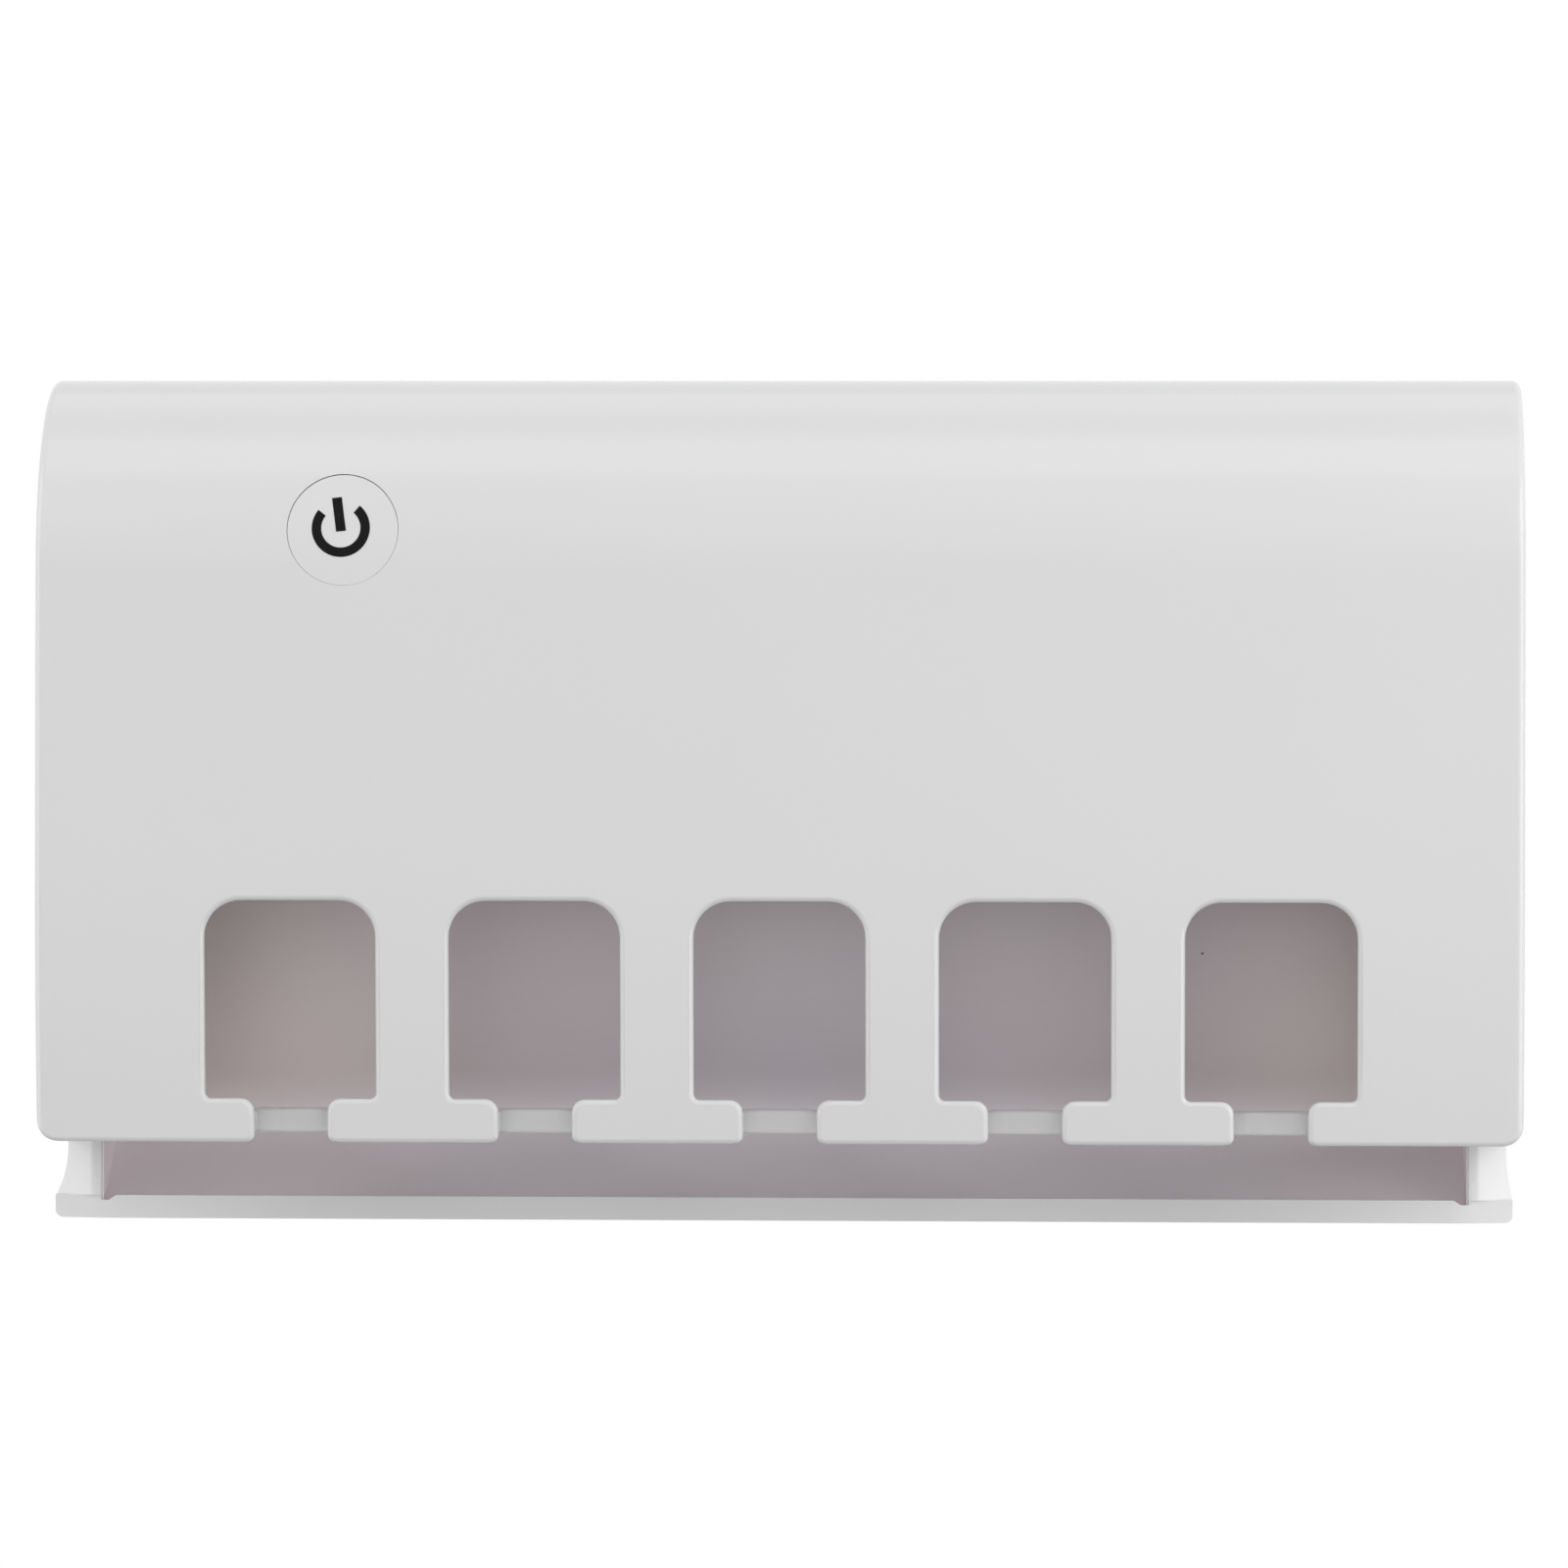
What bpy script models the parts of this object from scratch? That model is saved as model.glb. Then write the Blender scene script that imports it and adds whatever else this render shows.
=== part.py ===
"""Wall-mounted toothbrush sterilizer with five brush slots, modelled as its separate parts.

Metres, +Z up, front towards -Y. The wall is the plane Y = 0, and the origin lies on it,
midway between the top of the cover and the underside of the wall tray.
"""
from math import cos, pi, sin, sqrt

import bmesh
import bpy
from mathutils import Matrix, Vector

# Overall sizes
WIDTH = 0.2500
HEIGHT = 0.1431
DEPTH = 0.0480
GAP = 0.0003
OVERCUT = 0.002

# Front cover shell
TRAY_REVEAL = 0.01385
COVER_BACK_Y = -0.0010
COVER_WALL = 0.0020
ARCH_RISE = 0.033
ARCH_DEPTH = 0.029
BOW_HEIGHT = 0.048
BOW_SETBACK = 0.0038
SIDE_FILLET = 0.0014
BOTTOM_FILLET = 0.0020
LOWER_CORNER = 0.0036

# Brush slots
SLOT_COUNT = 5
SLOT_SIDE = 0.0424
WINDOW_WIDTH = 0.0291
WINDOW_SILL = 0.0074
WINDOW_HEIGHT = 0.0333
WINDOW_TOP_RADIUS = 0.0061
WINDOW_FOOT_RADIUS = 0.0010
NECK_WIDTH = 0.0124
NECK_DEPTH = 0.0150
NECK_RADIUS = 0.0022
TAB_RADIUS = 0.0022
TAB_FOOT_RADIUS = 0.0013
RIM_FILLET = 0.0010

# Shelf behind the tabs
SHELF_DROP = 0.0021
SHELF_THICKNESS = 0.0040
SHELF_CLEARANCE = 0.0030
SHELF_POCKET = 0.0022
SHELF_RIB = 0.0018

# Wall tray
TRAY_WALL = 0.0063
TRAY_OUTER_LAYER = 0.0047
TRAY_STEP = 0.0006
TRAY_STEP_RISE = 0.0031
TRAY_CLEARANCE = 0.0003
TRAY_SETBACK = 0.0240
TRAY_TOP_GAP = 0.0012
BACK_PLATE = 0.0024
FLOOR_THICKNESS = 0.0018
LIP_HEIGHT = 0.0039
LIP_THICKNESS = 0.0018
FLOOR_FILLET = 0.0025
LIP_DIP = 0.0008
LIP_DIP_WIDTH = 0.0013
FLARE = 0.0016
FLARE_HEIGHT = 0.0078
BASE_CORNER = 0.0013
KEYHOLE_SIDE = 0.0450
KEYHOLE_DROP = 0.0190
KEYHOLE_HEAD_RADIUS = 0.0048
KEYHOLE_SLOT_RADIUS = 0.0025
KEYHOLE_SLOT_LENGTH = 0.0090

# Adhesive pads in pockets on the tray's back
PAD_WIDTH = 0.0700
PAD_HEIGHT = 0.0500
PAD_POCKET = 0.0009
PAD_SIDE = 0.0550
PAD_RISE = 0.0630
PAD_RADIUS = 0.0040

# Reflector panel
PANEL_THICKNESS = 0.0008
PANEL_TOP_GAP = 0.0020
PANEL_BEND_RADIUS = 0.0100
PANEL_SLOPE = 31 * pi / 180

# Hanging lugs on the tray and their channels on the housing
LUG_SIDE = 0.0650
LUG_DROP = 0.0210
LUG_HEIGHT = 0.0120
LUG_STEM_WIDTH = 0.0056
LUG_HEAD_WIDTH = 0.0104
LUG_HEAD_THICKNESS = 0.0018
CHANNEL_WALL = 0.0020
CHANNEL_LIP = 0.0013
CHANNEL_PLAY = 0.0004
CHANNEL_LENGTH = 0.0400
CHANNEL_STANDOFF = 0.0010

# Rear housing of the electronics chamber
HOUSING_BACK_Y = -0.0098
CHAMBER_HEIGHT = 0.0623
HOUSING_WALL = 0.0020
HOUSING_SIDE_PLAY = 0.0008

# Screws and their bosses
BOSS_RADIUS = 0.0036
PILOT_RADIUS = 0.0013
SCREW_RADIUS = 0.00095
SCREW_HEAD_RADIUS = 0.0026
SCREW_HEAD_HEIGHT = 0.0015
SCREW_LENGTH = 0.0090
SCREW_HOLE_RADIUS = 0.0015
SCREW_SIDE = 0.0190
SCREW_RISE = 0.0095
SCREW_DROP = 0.0085

# Power button and tact switch
BUTTON_SIDE = 0.0517
BUTTON_DROP = 0.0265
BUTTON_RADIUS = 0.00945
BUTTON_GAP = 0.00025
BUTTON_WALL = 0.0014
BUTTON_WEB = 0.0012
BUTTON_FLANGE = 0.0012
BUTTON_FLANGE_THICKNESS = 0.0010
BUTTON_TRAVEL = 0.0010
BUTTON_STEM_RADIUS = 0.0020
SWITCH_SIZE = 0.0060
SWITCH_HEIGHT = 0.0035
PLUNGER_RADIUS = 0.0017
PLUNGER_HEIGHT = 0.0014
SMALL_EDGE = 0.0003
PACKAGE_CORNER = 0.0004

# Control board and charging inlet
BOARD_THICKNESS = 0.0016
BOARD_SETBACK = 0.0175
BOARD_SIDE = 0.0120
BOARD_WIDTH = 0.0610
BOARD_RISE = 0.0140
BOARD_DROP = 0.0130
BOARD_CORNER = 0.0010
BOARD_SCREW_INSET = 0.0050
PORT_WIDTH = 0.0089
PORT_HEIGHT = 0.0032
PORT_LENGTH = 0.0092
BOARD_EAR_SIDE = 0.0045
BOARD_EAR_HALF = 0.0062
PORT_SHELL = 0.0003
PORT_GAP = 0.0003
PORT_RISE = 0.0120
PORT_INSET = 0.0006
TONGUE_THICKNESS = 0.0007
TONGUE_WIDTH = 0.0066
CHIP_SIZE = 0.0070

# Battery and its cradle
CELL_RADIUS = 0.0092
CELL_LENGTH = 0.0650
CELL_CAP_RADIUS = 0.0032
CELL_CAP_HEIGHT = 0.0012
CELL_EDGE = 0.0006
CELL_SIDE = 0.0950
CRADLE_WALL = 0.0016
CRADLE_BASE = 0.0018
CRADLE_HEIGHT = 0.0130
CONTACT_THICKNESS = 0.0005

# Ultraviolet lamps
LAMP_SETBACK = 0.0102
STRIP_WIDTH = 0.0100
STRIP_THICKNESS = 0.0012
STRIP_OVERHANG = 0.0120
LED_SIZE = 0.0036
LED_HEIGHT = 0.0012
LAMP_HOLE_RADIUS = 0.0040
LAMP_GLASS_RADIUS = 0.0052
LAMP_GLASS_THICKNESS = 0.0010

# Leads inside the housing
LEAD_RADIUS = 0.0006
LEAD_BEND = 0.0040

# Heights and depths worked out from the sizes above
TOP_Z = HEIGHT / 2
BASE_Z = -HEIGHT / 2
COVER_BOTTOM_Z = BASE_Z + TRAY_REVEAL
COVER_INNER_X = WIDTH / 2 - COVER_WALL
ARCH_Z = TOP_Z - ARCH_RISE
SILL_Z = COVER_BOTTOM_Z + WINDOW_SILL
BOW_Z = COVER_BOTTOM_Z + BOW_HEIGHT
SHELF_TOP_Z = SILL_Z - SHELF_DROP
SHELF_BOTTOM_Z = SHELF_TOP_Z - SHELF_THICKNESS
TRAY_FRONT_Y = -DEPTH + TRAY_SETBACK
SHELF_BACK_Y = TRAY_FRONT_Y - SHELF_CLEARANCE
TRAY_OUTER_X = COVER_INNER_X - TRAY_CLEARANCE
TRAY_INNER_X = TRAY_OUTER_X - TRAY_WALL
TRAY_TOP_Z = TOP_Z - COVER_WALL - TRAY_TOP_GAP
FLOOR_TOP_Z = BASE_Z + FLOOR_THICKNESS
LIP_TOP_Z = BASE_Z + LIP_HEIGHT
KEYHOLE_X = WIDTH / 2 - KEYHOLE_SIDE
KEYHOLE_Z = TOP_Z - KEYHOLE_DROP
PAD_X = WIDTH / 2 - PAD_SIDE
PAD_Z = BASE_Z + PAD_RISE
LUG_X = WIDTH / 2 - LUG_SIDE
LUG_TOP_Z = TOP_Z - LUG_DROP
HOUSING_X = TRAY_INNER_X - HOUSING_SIDE_PLAY
HOUSING_CAVITY_X = HOUSING_X - HOUSING_WALL
HOUSING_INNER_Y = HOUSING_BACK_Y - HOUSING_WALL
HOUSING_FLOOR_Z = COVER_BOTTOM_Z + CHAMBER_HEIGHT
HOUSING_FLOOR_TOP_Z = HOUSING_FLOOR_Z + HOUSING_WALL
PANEL_TOP_Z = HOUSING_FLOOR_Z - PANEL_TOP_GAP
SCREW_X = WIDTH / 2 - SCREW_SIDE
SCREW_LOW_Z = HOUSING_FLOOR_Z + SCREW_RISE
SCREW_HIGH_Z = TOP_Z - SCREW_DROP
BUTTON_X = -WIDTH / 2 + BUTTON_SIDE
BUTTON_Z = TOP_Z - BUTTON_DROP
BOARD_FACE_Y = -DEPTH + BOARD_SETBACK
BOARD_LEFT_X = -WIDTH / 2 + BOARD_SIDE
BOARD_RIGHT_X = BOARD_LEFT_X + BOARD_WIDTH
BOARD_LOW_Z = HOUSING_FLOOR_Z + BOARD_RISE
BOARD_HIGH_Z = TOP_Z - BOARD_DROP
PORT_Y = BOARD_FACE_Y - GAP - PORT_HEIGHT / 2
PORT_Z = BOARD_LOW_Z + PORT_RISE
CELL_X = WIDTH / 2 - CELL_SIDE
LAMP_Y = HOUSING_BACK_Y - LAMP_SETBACK
SLOT_PITCH = (WIDTH - 2 * SLOT_SIDE) / (SLOT_COUNT - 1)
SLOT_CENTRES = [(i - (SLOT_COUNT - 1) / 2) * SLOT_PITCH for i in range(SLOT_COUNT)]


def material(name, colour, roughness, metallic=0.0):
    """A plain Principled material, made once for each name."""
    found = bpy.data.materials.get(name)
    if found:
        return found
    made = bpy.data.materials.new(name)
    made.use_nodes = True
    shader = made.node_tree.nodes["Principled BSDF"]
    shader.inputs["Base Color"].default_value = (*colour, 1.0)
    shader.inputs["Roughness"].default_value = roughness
    shader.inputs["Metallic"].default_value = metallic
    made.diffuse_color = (*colour, 1.0)
    return made


def white_shell():
    return material("white_shell", (0.80, 0.80, 0.80), 0.35)


def new_object(name, verts, faces, finish=None):
    """A mesh object with its faces turned outwards."""
    mesh = bpy.data.meshes.new(name)
    work = bmesh.new()
    made = [work.verts.new(v) for v in verts]
    for face in faces:
        work.faces.new([made[i] for i in face])
    bmesh.ops.recalc_face_normals(work, faces=work.faces)
    work.to_mesh(mesh)
    work.free()
    obj = bpy.data.objects.new(name, mesh)
    bpy.context.collection.objects.link(obj)
    if finish:
        mesh.materials.append(finish)
    return obj


def loft(name, rings, finish=None):
    """A closed skin through rings of equal count, with flat ends."""
    count = len(rings[0])
    verts = [p for ring in rings for p in ring]
    faces = [list(range(count))]
    faces.append([(len(rings) - 1) * count + i for i in range(count)])
    for r in range(len(rings) - 1):
        for i in range(count):
            j = (i + 1) % count
            a, b = r * count, (r + 1) * count
            faces.append([a + i, a + j, b + j, b + i])
    return new_object(name, verts, faces, finish)


def place(axis, u, v, w):
    """The point at (u, v) across the axis and w along it, with u, v in X, Y, Z order."""
    if axis == "X":
        return (w, u, v)
    if axis == "Y":
        return (u, w, v)
    return (u, v, w)


def prism(name, outline, axis, start, end, finish=None):
    """An outline pushed along an axis from start to end."""
    return loft(name, [[place(axis, u, v, w) for u, v in outline] for w in (start, end)], finish)


def block(name, low, high, finish=None):
    """A box between two corners."""
    outline = [(low[0], low[1]), (high[0], low[1]), (high[0], high[1]), (low[0], high[1])]
    return prism(name, outline, "Z", low[2], high[2], finish)


def circle(cu, cv, radius, steps=24):
    return [(cu + radius * cos(2 * pi * i / steps), cv + radius * sin(2 * pi * i / steps))
            for i in range(steps)]


def rounded(corners, steps=5):
    """An outline through (u, v, radius) corners, each one turned by an arc."""
    outline = []
    count = len(corners)
    for i, (u, v, radius) in enumerate(corners):
        here = Vector((u, v))
        before = (Vector(corners[i - 1][:2]) - here).normalized()
        after = (Vector(corners[(i + 1) % count][:2]) - here).normalized()
        if radius <= 0:
            outline.append((u, v))
            continue
        half = before.angle(after) / 2
        centre = here + (before + after).normalized() * (radius / sin(half))
        reach = sqrt(max((centre - here).length_squared - radius ** 2, 0.0))
        start = here + before * reach - centre
        end = here + after * reach - centre
        turn = start.angle_signed(end)
        for k in range(steps + 1):
            point = centre + Matrix.Rotation(-turn * k / steps, 2) @ start
            outline.append((point.x, point.y))
    return outline


def box_corners(u0, u1, v0, v1, radius=0.0):
    return [(u0, v0, radius), (u1, v0, radius), (u1, v1, radius), (u0, v1, radius)]


def combine(target, tool, operation):
    """A Boolean of two objects, with the tool used up."""
    modifier = target.modifiers.new(operation.lower(), "BOOLEAN")
    modifier.operation = operation
    modifier.solver = "EXACT"
    modifier.object = tool
    graph = bpy.context.evaluated_depsgraph_get()
    result = bpy.data.meshes.new_from_object(target.evaluated_get(graph))
    finishes = list(target.data.materials)
    target.modifiers.clear()
    target.data = result
    result.materials.clear()
    for finish in finishes:
        result.materials.append(finish)
    bpy.data.objects.remove(tool)
    return target


def cut(target, *tools):
    for tool in tools:
        combine(target, tool, "DIFFERENCE")
    return target


def join(target, *tools):
    for tool in tools:
        combine(target, tool, "UNION")
    return target


def smooth(obj, angle=35.0):
    obj.data.shade_smooth()
    obj.data.set_sharp_from_angle(angle=angle * pi / 180)
    return obj


def mirrored_x(position):
    return (-position, position)


# Outline of the cover


def arch_setback(z):
    """How far the arched top lies behind the front-most line at a height."""
    share = min(max((z - ARCH_Z) / ARCH_RISE, 0.0), 1.0)
    return ARCH_DEPTH * (1 - sqrt(1 - share ** 2))


def bow_setback(z):
    """How far the lower front lies behind the front-most line at a height."""
    share = max((BOW_Z - z) / BOW_HEIGHT, 0.0)
    return BOW_SETBACK * share ** 2


def front_y(z):
    """The cover's outer front at a height."""
    return -DEPTH + arch_setback(z) + bow_setback(z)


def shell_y(z):
    """The cover's outer front with the rounding of its lower edge."""
    rise = min(max((z - COVER_BOTTOM_Z) / BOTTOM_FILLET, 0.0), 1.0)
    return front_y(z) + BOTTOM_FILLET * (1 - sqrt(rise * (2 - rise)))


def inner_y(z):
    """The inside of the cover's front wall at a height."""
    wall = COVER_WALL
    share = min(max((z - ARCH_Z) / (ARCH_RISE - wall), 0.0), 1.0)
    return -DEPTH + bow_setback(z) + wall + (ARCH_DEPTH - wall) * (1 - sqrt(1 - share ** 2))


def cover_section(inset, lower_inset):
    """The cover's outer side profile, drawn in by the edge fillet."""
    section = [(COVER_BACK_Y, TOP_Z - inset)]
    arch_steps = 16
    for i in range(arch_steps + 1):
        angle = pi / 2 * (1 - i / arch_steps)
        section.append((-DEPTH + ARCH_DEPTH - (ARCH_DEPTH - inset) * cos(angle),
                        ARCH_Z + (ARCH_RISE - inset) * sin(angle)))
    foot_z = COVER_BOTTOM_Z + lower_inset + BOTTOM_FILLET
    bow_steps = 6
    for i in range(bow_steps + 1):
        z = BOW_Z + (foot_z - BOW_Z) * i / bow_steps
        section.append((-DEPTH + bow_setback(z) + inset, z))
    toe_y = section[-1][0]
    toe_radius = BOTTOM_FILLET
    toe_steps = 4
    for i in range(1, toe_steps + 1):
        angle = pi / 2 * i / toe_steps
        section.append((toe_y + toe_radius * (1 - cos(angle)), foot_z - toe_radius * sin(angle)))
    section.append((COVER_BACK_Y, foot_z - toe_radius))
    return section


def corner_inset(distance, radius):
    """How far a rounded corner is drawn in at a distance from the side."""
    if distance >= radius:
        return 0.0
    return radius - sqrt(radius ** 2 - (radius - distance) ** 2)


def cover_cavity_section():
    """The space inside the cover, which leaves the front, the top and the shelf."""
    wall = COVER_WALL
    section = [(COVER_BACK_Y + OVERCUT, TOP_Z - wall)]
    arch_steps = 12
    for i in range(arch_steps + 1):
        angle = pi / 2 * (1 - i / arch_steps)
        section.append((-DEPTH + ARCH_DEPTH - (ARCH_DEPTH - wall) * cos(angle),
                        ARCH_Z + (ARCH_RISE - wall) * sin(angle)))
    bow_steps = 4
    for i in range(bow_steps + 1):
        z = BOW_Z + (SHELF_TOP_Z - BOW_Z) * i / bow_steps
        section.append((front_y(z) + wall, z))
    section.append((SHELF_BACK_Y, SHELF_TOP_Z))
    section.append((SHELF_BACK_Y, SHELF_BOTTOM_Z))
    section.append((front_y(SHELF_BOTTOM_Z) + wall, SHELF_BOTTOM_Z))
    section.append((front_y(COVER_BOTTOM_Z) + wall, COVER_BOTTOM_Z - OVERCUT))
    section.append((COVER_BACK_Y + OVERCUT, COVER_BOTTOM_Z - OVERCUT))
    return section


def slot_outline(centre, spread):
    """A brush window with its open neck, widened by the rim fillet's spread."""
    half = WINDOW_WIDTH / 2 + spread
    neck = NECK_WIDTH / 2 + spread
    sill = SILL_Z - spread
    head = SILL_Z + WINDOW_HEIGHT + spread
    foot = COVER_BOTTOM_Z - GAP / 10
    below = COVER_BOTTOM_Z - OVERCUT
    toe = neck + TAB_FOOT_RADIUS * 2
    tab = TAB_RADIUS - spread * 0.6
    corners = [
        (centre - toe, below, 0.0),
        (centre + toe, below, 0.0),
        (centre + toe, foot, 0.0),
        (centre + neck, foot, TAB_FOOT_RADIUS),
        (centre + neck, sill, tab),
        (centre + half, sill, WINDOW_FOOT_RADIUS + spread),
        (centre + half, head, WINDOW_TOP_RADIUS + spread),
        (centre - half, head, WINDOW_TOP_RADIUS + spread),
        (centre - half, sill, WINDOW_FOOT_RADIUS + spread),
        (centre - neck, sill, tab),
        (centre - neck, foot, TAB_FOOT_RADIUS),
        (centre - toe, foot, 0.0),
    ]
    return rounded(corners)


def slot_cutter(centre):
    """The slot's cutter, whose flared mouth leaves a rounded rim on the curved front."""
    rings = []
    mouth = slot_outline(centre, RIM_FILLET)
    rings.append([(x, shell_y(z) - OVERCUT, z) for x, z in mouth])
    for angle in (15, 38, 62, 90):
        turn = angle * pi / 180
        spread = RIM_FILLET * (1 - sin(turn))
        depth = RIM_FILLET * (1 - cos(turn))
        rings.append([(x, shell_y(z) + depth, z) for x, z in slot_outline(centre, spread)])
    through = COVER_WALL + OVERCUT / 2
    rings.append([(x, shell_y(z) + through, z) for x, z in slot_outline(centre, 0.0)])
    return loft("slot_cutter", rings)


def neck_cutter(centre):
    """The U-shaped notch in the shelf that takes the brush's neck."""
    half = NECK_WIDTH / 2
    corners = [(centre - half, -DEPTH, 0.0), (centre + half, -DEPTH, 0.0),
               (centre + half, -DEPTH + NECK_DEPTH, NECK_RADIUS),
               (centre - half, -DEPTH + NECK_DEPTH, NECK_RADIUS)]
    return prism("neck_cutter", rounded(corners), "Z", SHELF_BOTTOM_Z - OVERCUT, SHELF_TOP_Z + GAP)


def shelf_pockets():
    """Pockets under the shelf, which leave ribs round each notch and along the back edge."""
    reach = NECK_WIDTH / 2 + SHELF_RIB
    edges = [-COVER_INNER_X] + [c + s * reach for c in SLOT_CENTRES for s in (-1, 1)] + [COVER_INNER_X]
    low_y = front_y(SHELF_BOTTOM_Z) + COVER_WALL + SHELF_RIB
    cutters = []
    for left, right in zip(edges[0::2], edges[1::2]):
        low_x = left + (SHELF_RIB if left == -COVER_INNER_X else 0.0)
        high_x = right - (SHELF_RIB if right == COVER_INNER_X else 0.0)
        corners = box_corners(low_x, high_x, low_y, SHELF_BACK_Y - SHELF_RIB, 0.001)
        cutters.append(prism("pocket", rounded(corners, 2), "Z",
                             SHELF_BOTTOM_Z - OVERCUT, SHELF_BOTTOM_Z + SHELF_POCKET))
    return cutters


def screw_places():
    return [(x, z) for x in mirrored_x(SCREW_X) for z in (SCREW_LOW_Z, SCREW_HIGH_Z)]


def board_screw_places():
    x = BOARD_RIGHT_X - BOARD_SCREW_INSET
    return [(x, z) for z in (BOARD_LOW_Z + BOARD_SCREW_INSET, BOARD_HIGH_Z - BOARD_SCREW_INSET)]


def boss(x, z, end_y, radius=BOSS_RADIUS):
    """A screw boss that grows from the inside of the front wall."""
    outline = circle(x, z, radius, 16)
    root = [(u, front_y(v) + COVER_WALL / 2, v) for u, v in outline]
    return loft("boss", [root, [(u, end_y, v) for u, v in outline]])


def pilot(x, z, end_y):
    return prism("pilot", circle(x, z, PILOT_RADIUS, 12), "Y", end_y - SCREW_LENGTH, end_y + GAP)


def build_front_cover():
    """The moulded shell: front, arched top, sides, brush shelf, bosses and button guide."""
    half = WIDTH / 2
    stations = [SIDE_FILLET * share for share in (0.0, 0.1, 0.4, 1.0)]
    stations += [(SIDE_FILLET + LOWER_CORNER) / 2, LOWER_CORNER]
    rings = []
    for sign in (-1, 1):
        side = []
        for distance in stations:
            section = cover_section(corner_inset(distance, SIDE_FILLET), corner_inset(distance, LOWER_CORNER))
            side.append([(sign * (half - distance), y, z) for y, z in section])
        rings += side if sign < 0 else side[::-1]
    cover = loft("front_cover", rings, white_shell())
    cut(cover, prism("cavity", cover_cavity_section(), "X", -COVER_INNER_X, COVER_INNER_X))
    cut(cover, *shelf_pockets())
    for centre in SLOT_CENTRES:
        cut(cover, slot_cutter(centre), neck_cutter(centre))
    boss_end = HOUSING_INNER_Y - GAP
    board_end = BOARD_FACE_Y - GAP
    for x, z in screw_places():
        join(cover, boss(x, z, boss_end))
        cut(cover, pilot(x, z, boss_end))
    for x, z in board_screw_places():
        join(cover, boss(x, z, board_end))
        cut(cover, pilot(x, z, board_end))
    cut(cover,
        prism("button_hole", circle(BUTTON_X, BUTTON_Z, BUTTON_RADIUS + BUTTON_GAP, 48), "Y",
              -DEPTH - OVERCUT, flange_y()),
        prism("port_hole", port_section(-PORT_GAP), "X", -half - OVERCUT, -COVER_INNER_X + OVERCUT))
    return smooth(cover)


# Button group


def flange_y():
    """The front of the button's flange, which rests against the inside of the cover's wall."""
    return inner_y(BUTTON_Z + BUTTON_RADIUS + BUTTON_FLANGE) + GAP


def switch_face_y():
    """The face of the switch body that looks at the button."""
    return BOARD_FACE_Y - GAP - SWITCH_HEIGHT


def build_power_button():
    """The cap, cut to the cover's curve, with the flange that keeps it in and its stem."""
    steps = 48
    outline = circle(BUTTON_X, BUTTON_Z, BUTTON_RADIUS, steps)
    seat = flange_y()
    rings = [[(x, front_y(z), z) for x, z in circle(BUTTON_X, BUTTON_Z, BUTTON_RADIUS * share, steps)]
             for share in (0.35, 0.7)]
    rings += [[(x, front_y(z), z) for x, z in circle(BUTTON_X, BUTTON_Z, BUTTON_RADIUS - SMALL_EDGE, steps)],
              [(x, front_y(z) + SMALL_EDGE, z) for x, z in outline],
              [(x, seat, z) for x, z in outline]]
    button = loft("power_button", rings, white_shell())
    flange_end = seat + BUTTON_FLANGE_THICKNESS
    join(button, prism("flange", circle(BUTTON_X, BUTTON_Z, BUTTON_RADIUS + BUTTON_FLANGE, steps), "Y",
                       seat - GAP / 3, flange_end))
    web = front_y(BUTTON_Z + BUTTON_RADIUS) + BUTTON_WEB
    cut(button, prism("hollow", circle(BUTTON_X, BUTTON_Z, BUTTON_RADIUS - BUTTON_WALL, 32), "Y",
                      web, flange_end + OVERCUT))
    stem_end = switch_face_y() - PLUNGER_HEIGHT - GAP
    join(button, prism("stem", circle(BUTTON_X, BUTTON_Z, BUTTON_STEM_RADIUS, 16), "Y", web - GAP, stem_end))
    return smooth(button)


def build_switch_plunger():
    face = switch_face_y()
    outline = circle(BUTTON_X, BUTTON_Z, PLUNGER_RADIUS, 20)
    rim = circle(BUTTON_X, BUTTON_Z, PLUNGER_RADIUS - SMALL_EDGE, 20)
    rings = [[(x, face - PLUNGER_HEIGHT, z) for x, z in rim],
             [(x, face - PLUNGER_HEIGHT + SMALL_EDGE, z) for x, z in outline],
             [(x, face + BUTTON_TRAVEL, z) for x, z in outline]]
    return smooth(loft("switch_plunger", rings, material("black_plastic", (0.02, 0.02, 0.02), 0.5)))


def build_switch_body():
    """The tact switch's square body with the well its plunger sinks into."""
    half = SWITCH_SIZE / 2
    face = switch_face_y()
    corners = box_corners(BUTTON_X - half, BUTTON_X + half, BUTTON_Z - half, BUTTON_Z + half, PACKAGE_CORNER)
    body = prism("switch_body", rounded(corners, 2), "Y", face, BOARD_FACE_Y - GAP,
                 material("switch_black", (0.04, 0.04, 0.04), 0.55))
    cut(body, prism("well", circle(BUTTON_X, BUTTON_Z, PLUNGER_RADIUS + GAP, 20), "Y",
                    face - OVERCUT, face + 2 * BUTTON_TRAVEL + 2 * GAP))
    return smooth(body)


# Wall tray


def tray_outline():
    """The tray seen from the front: straight sides that flare into the base."""
    half = TRAY_OUTER_X
    flare_top = LIP_TOP_Z + FLARE_HEIGHT
    right = [(half, TRAY_TOP_Z)]
    steps = 6
    for i in range(steps + 1):
        share = i / steps
        right.append((half + FLARE * share ** 2, flare_top - FLARE_HEIGHT * share))
    centre = (half + FLARE - BASE_CORNER, BASE_Z + BASE_CORNER)
    for i in range(5):
        angle = -pi / 2 * i / 4
        right.append((centre[0] + BASE_CORNER * cos(angle), centre[1] + BASE_CORNER * sin(angle)))
    return right + [(-x, z) for x, z in right[::-1]]


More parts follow.
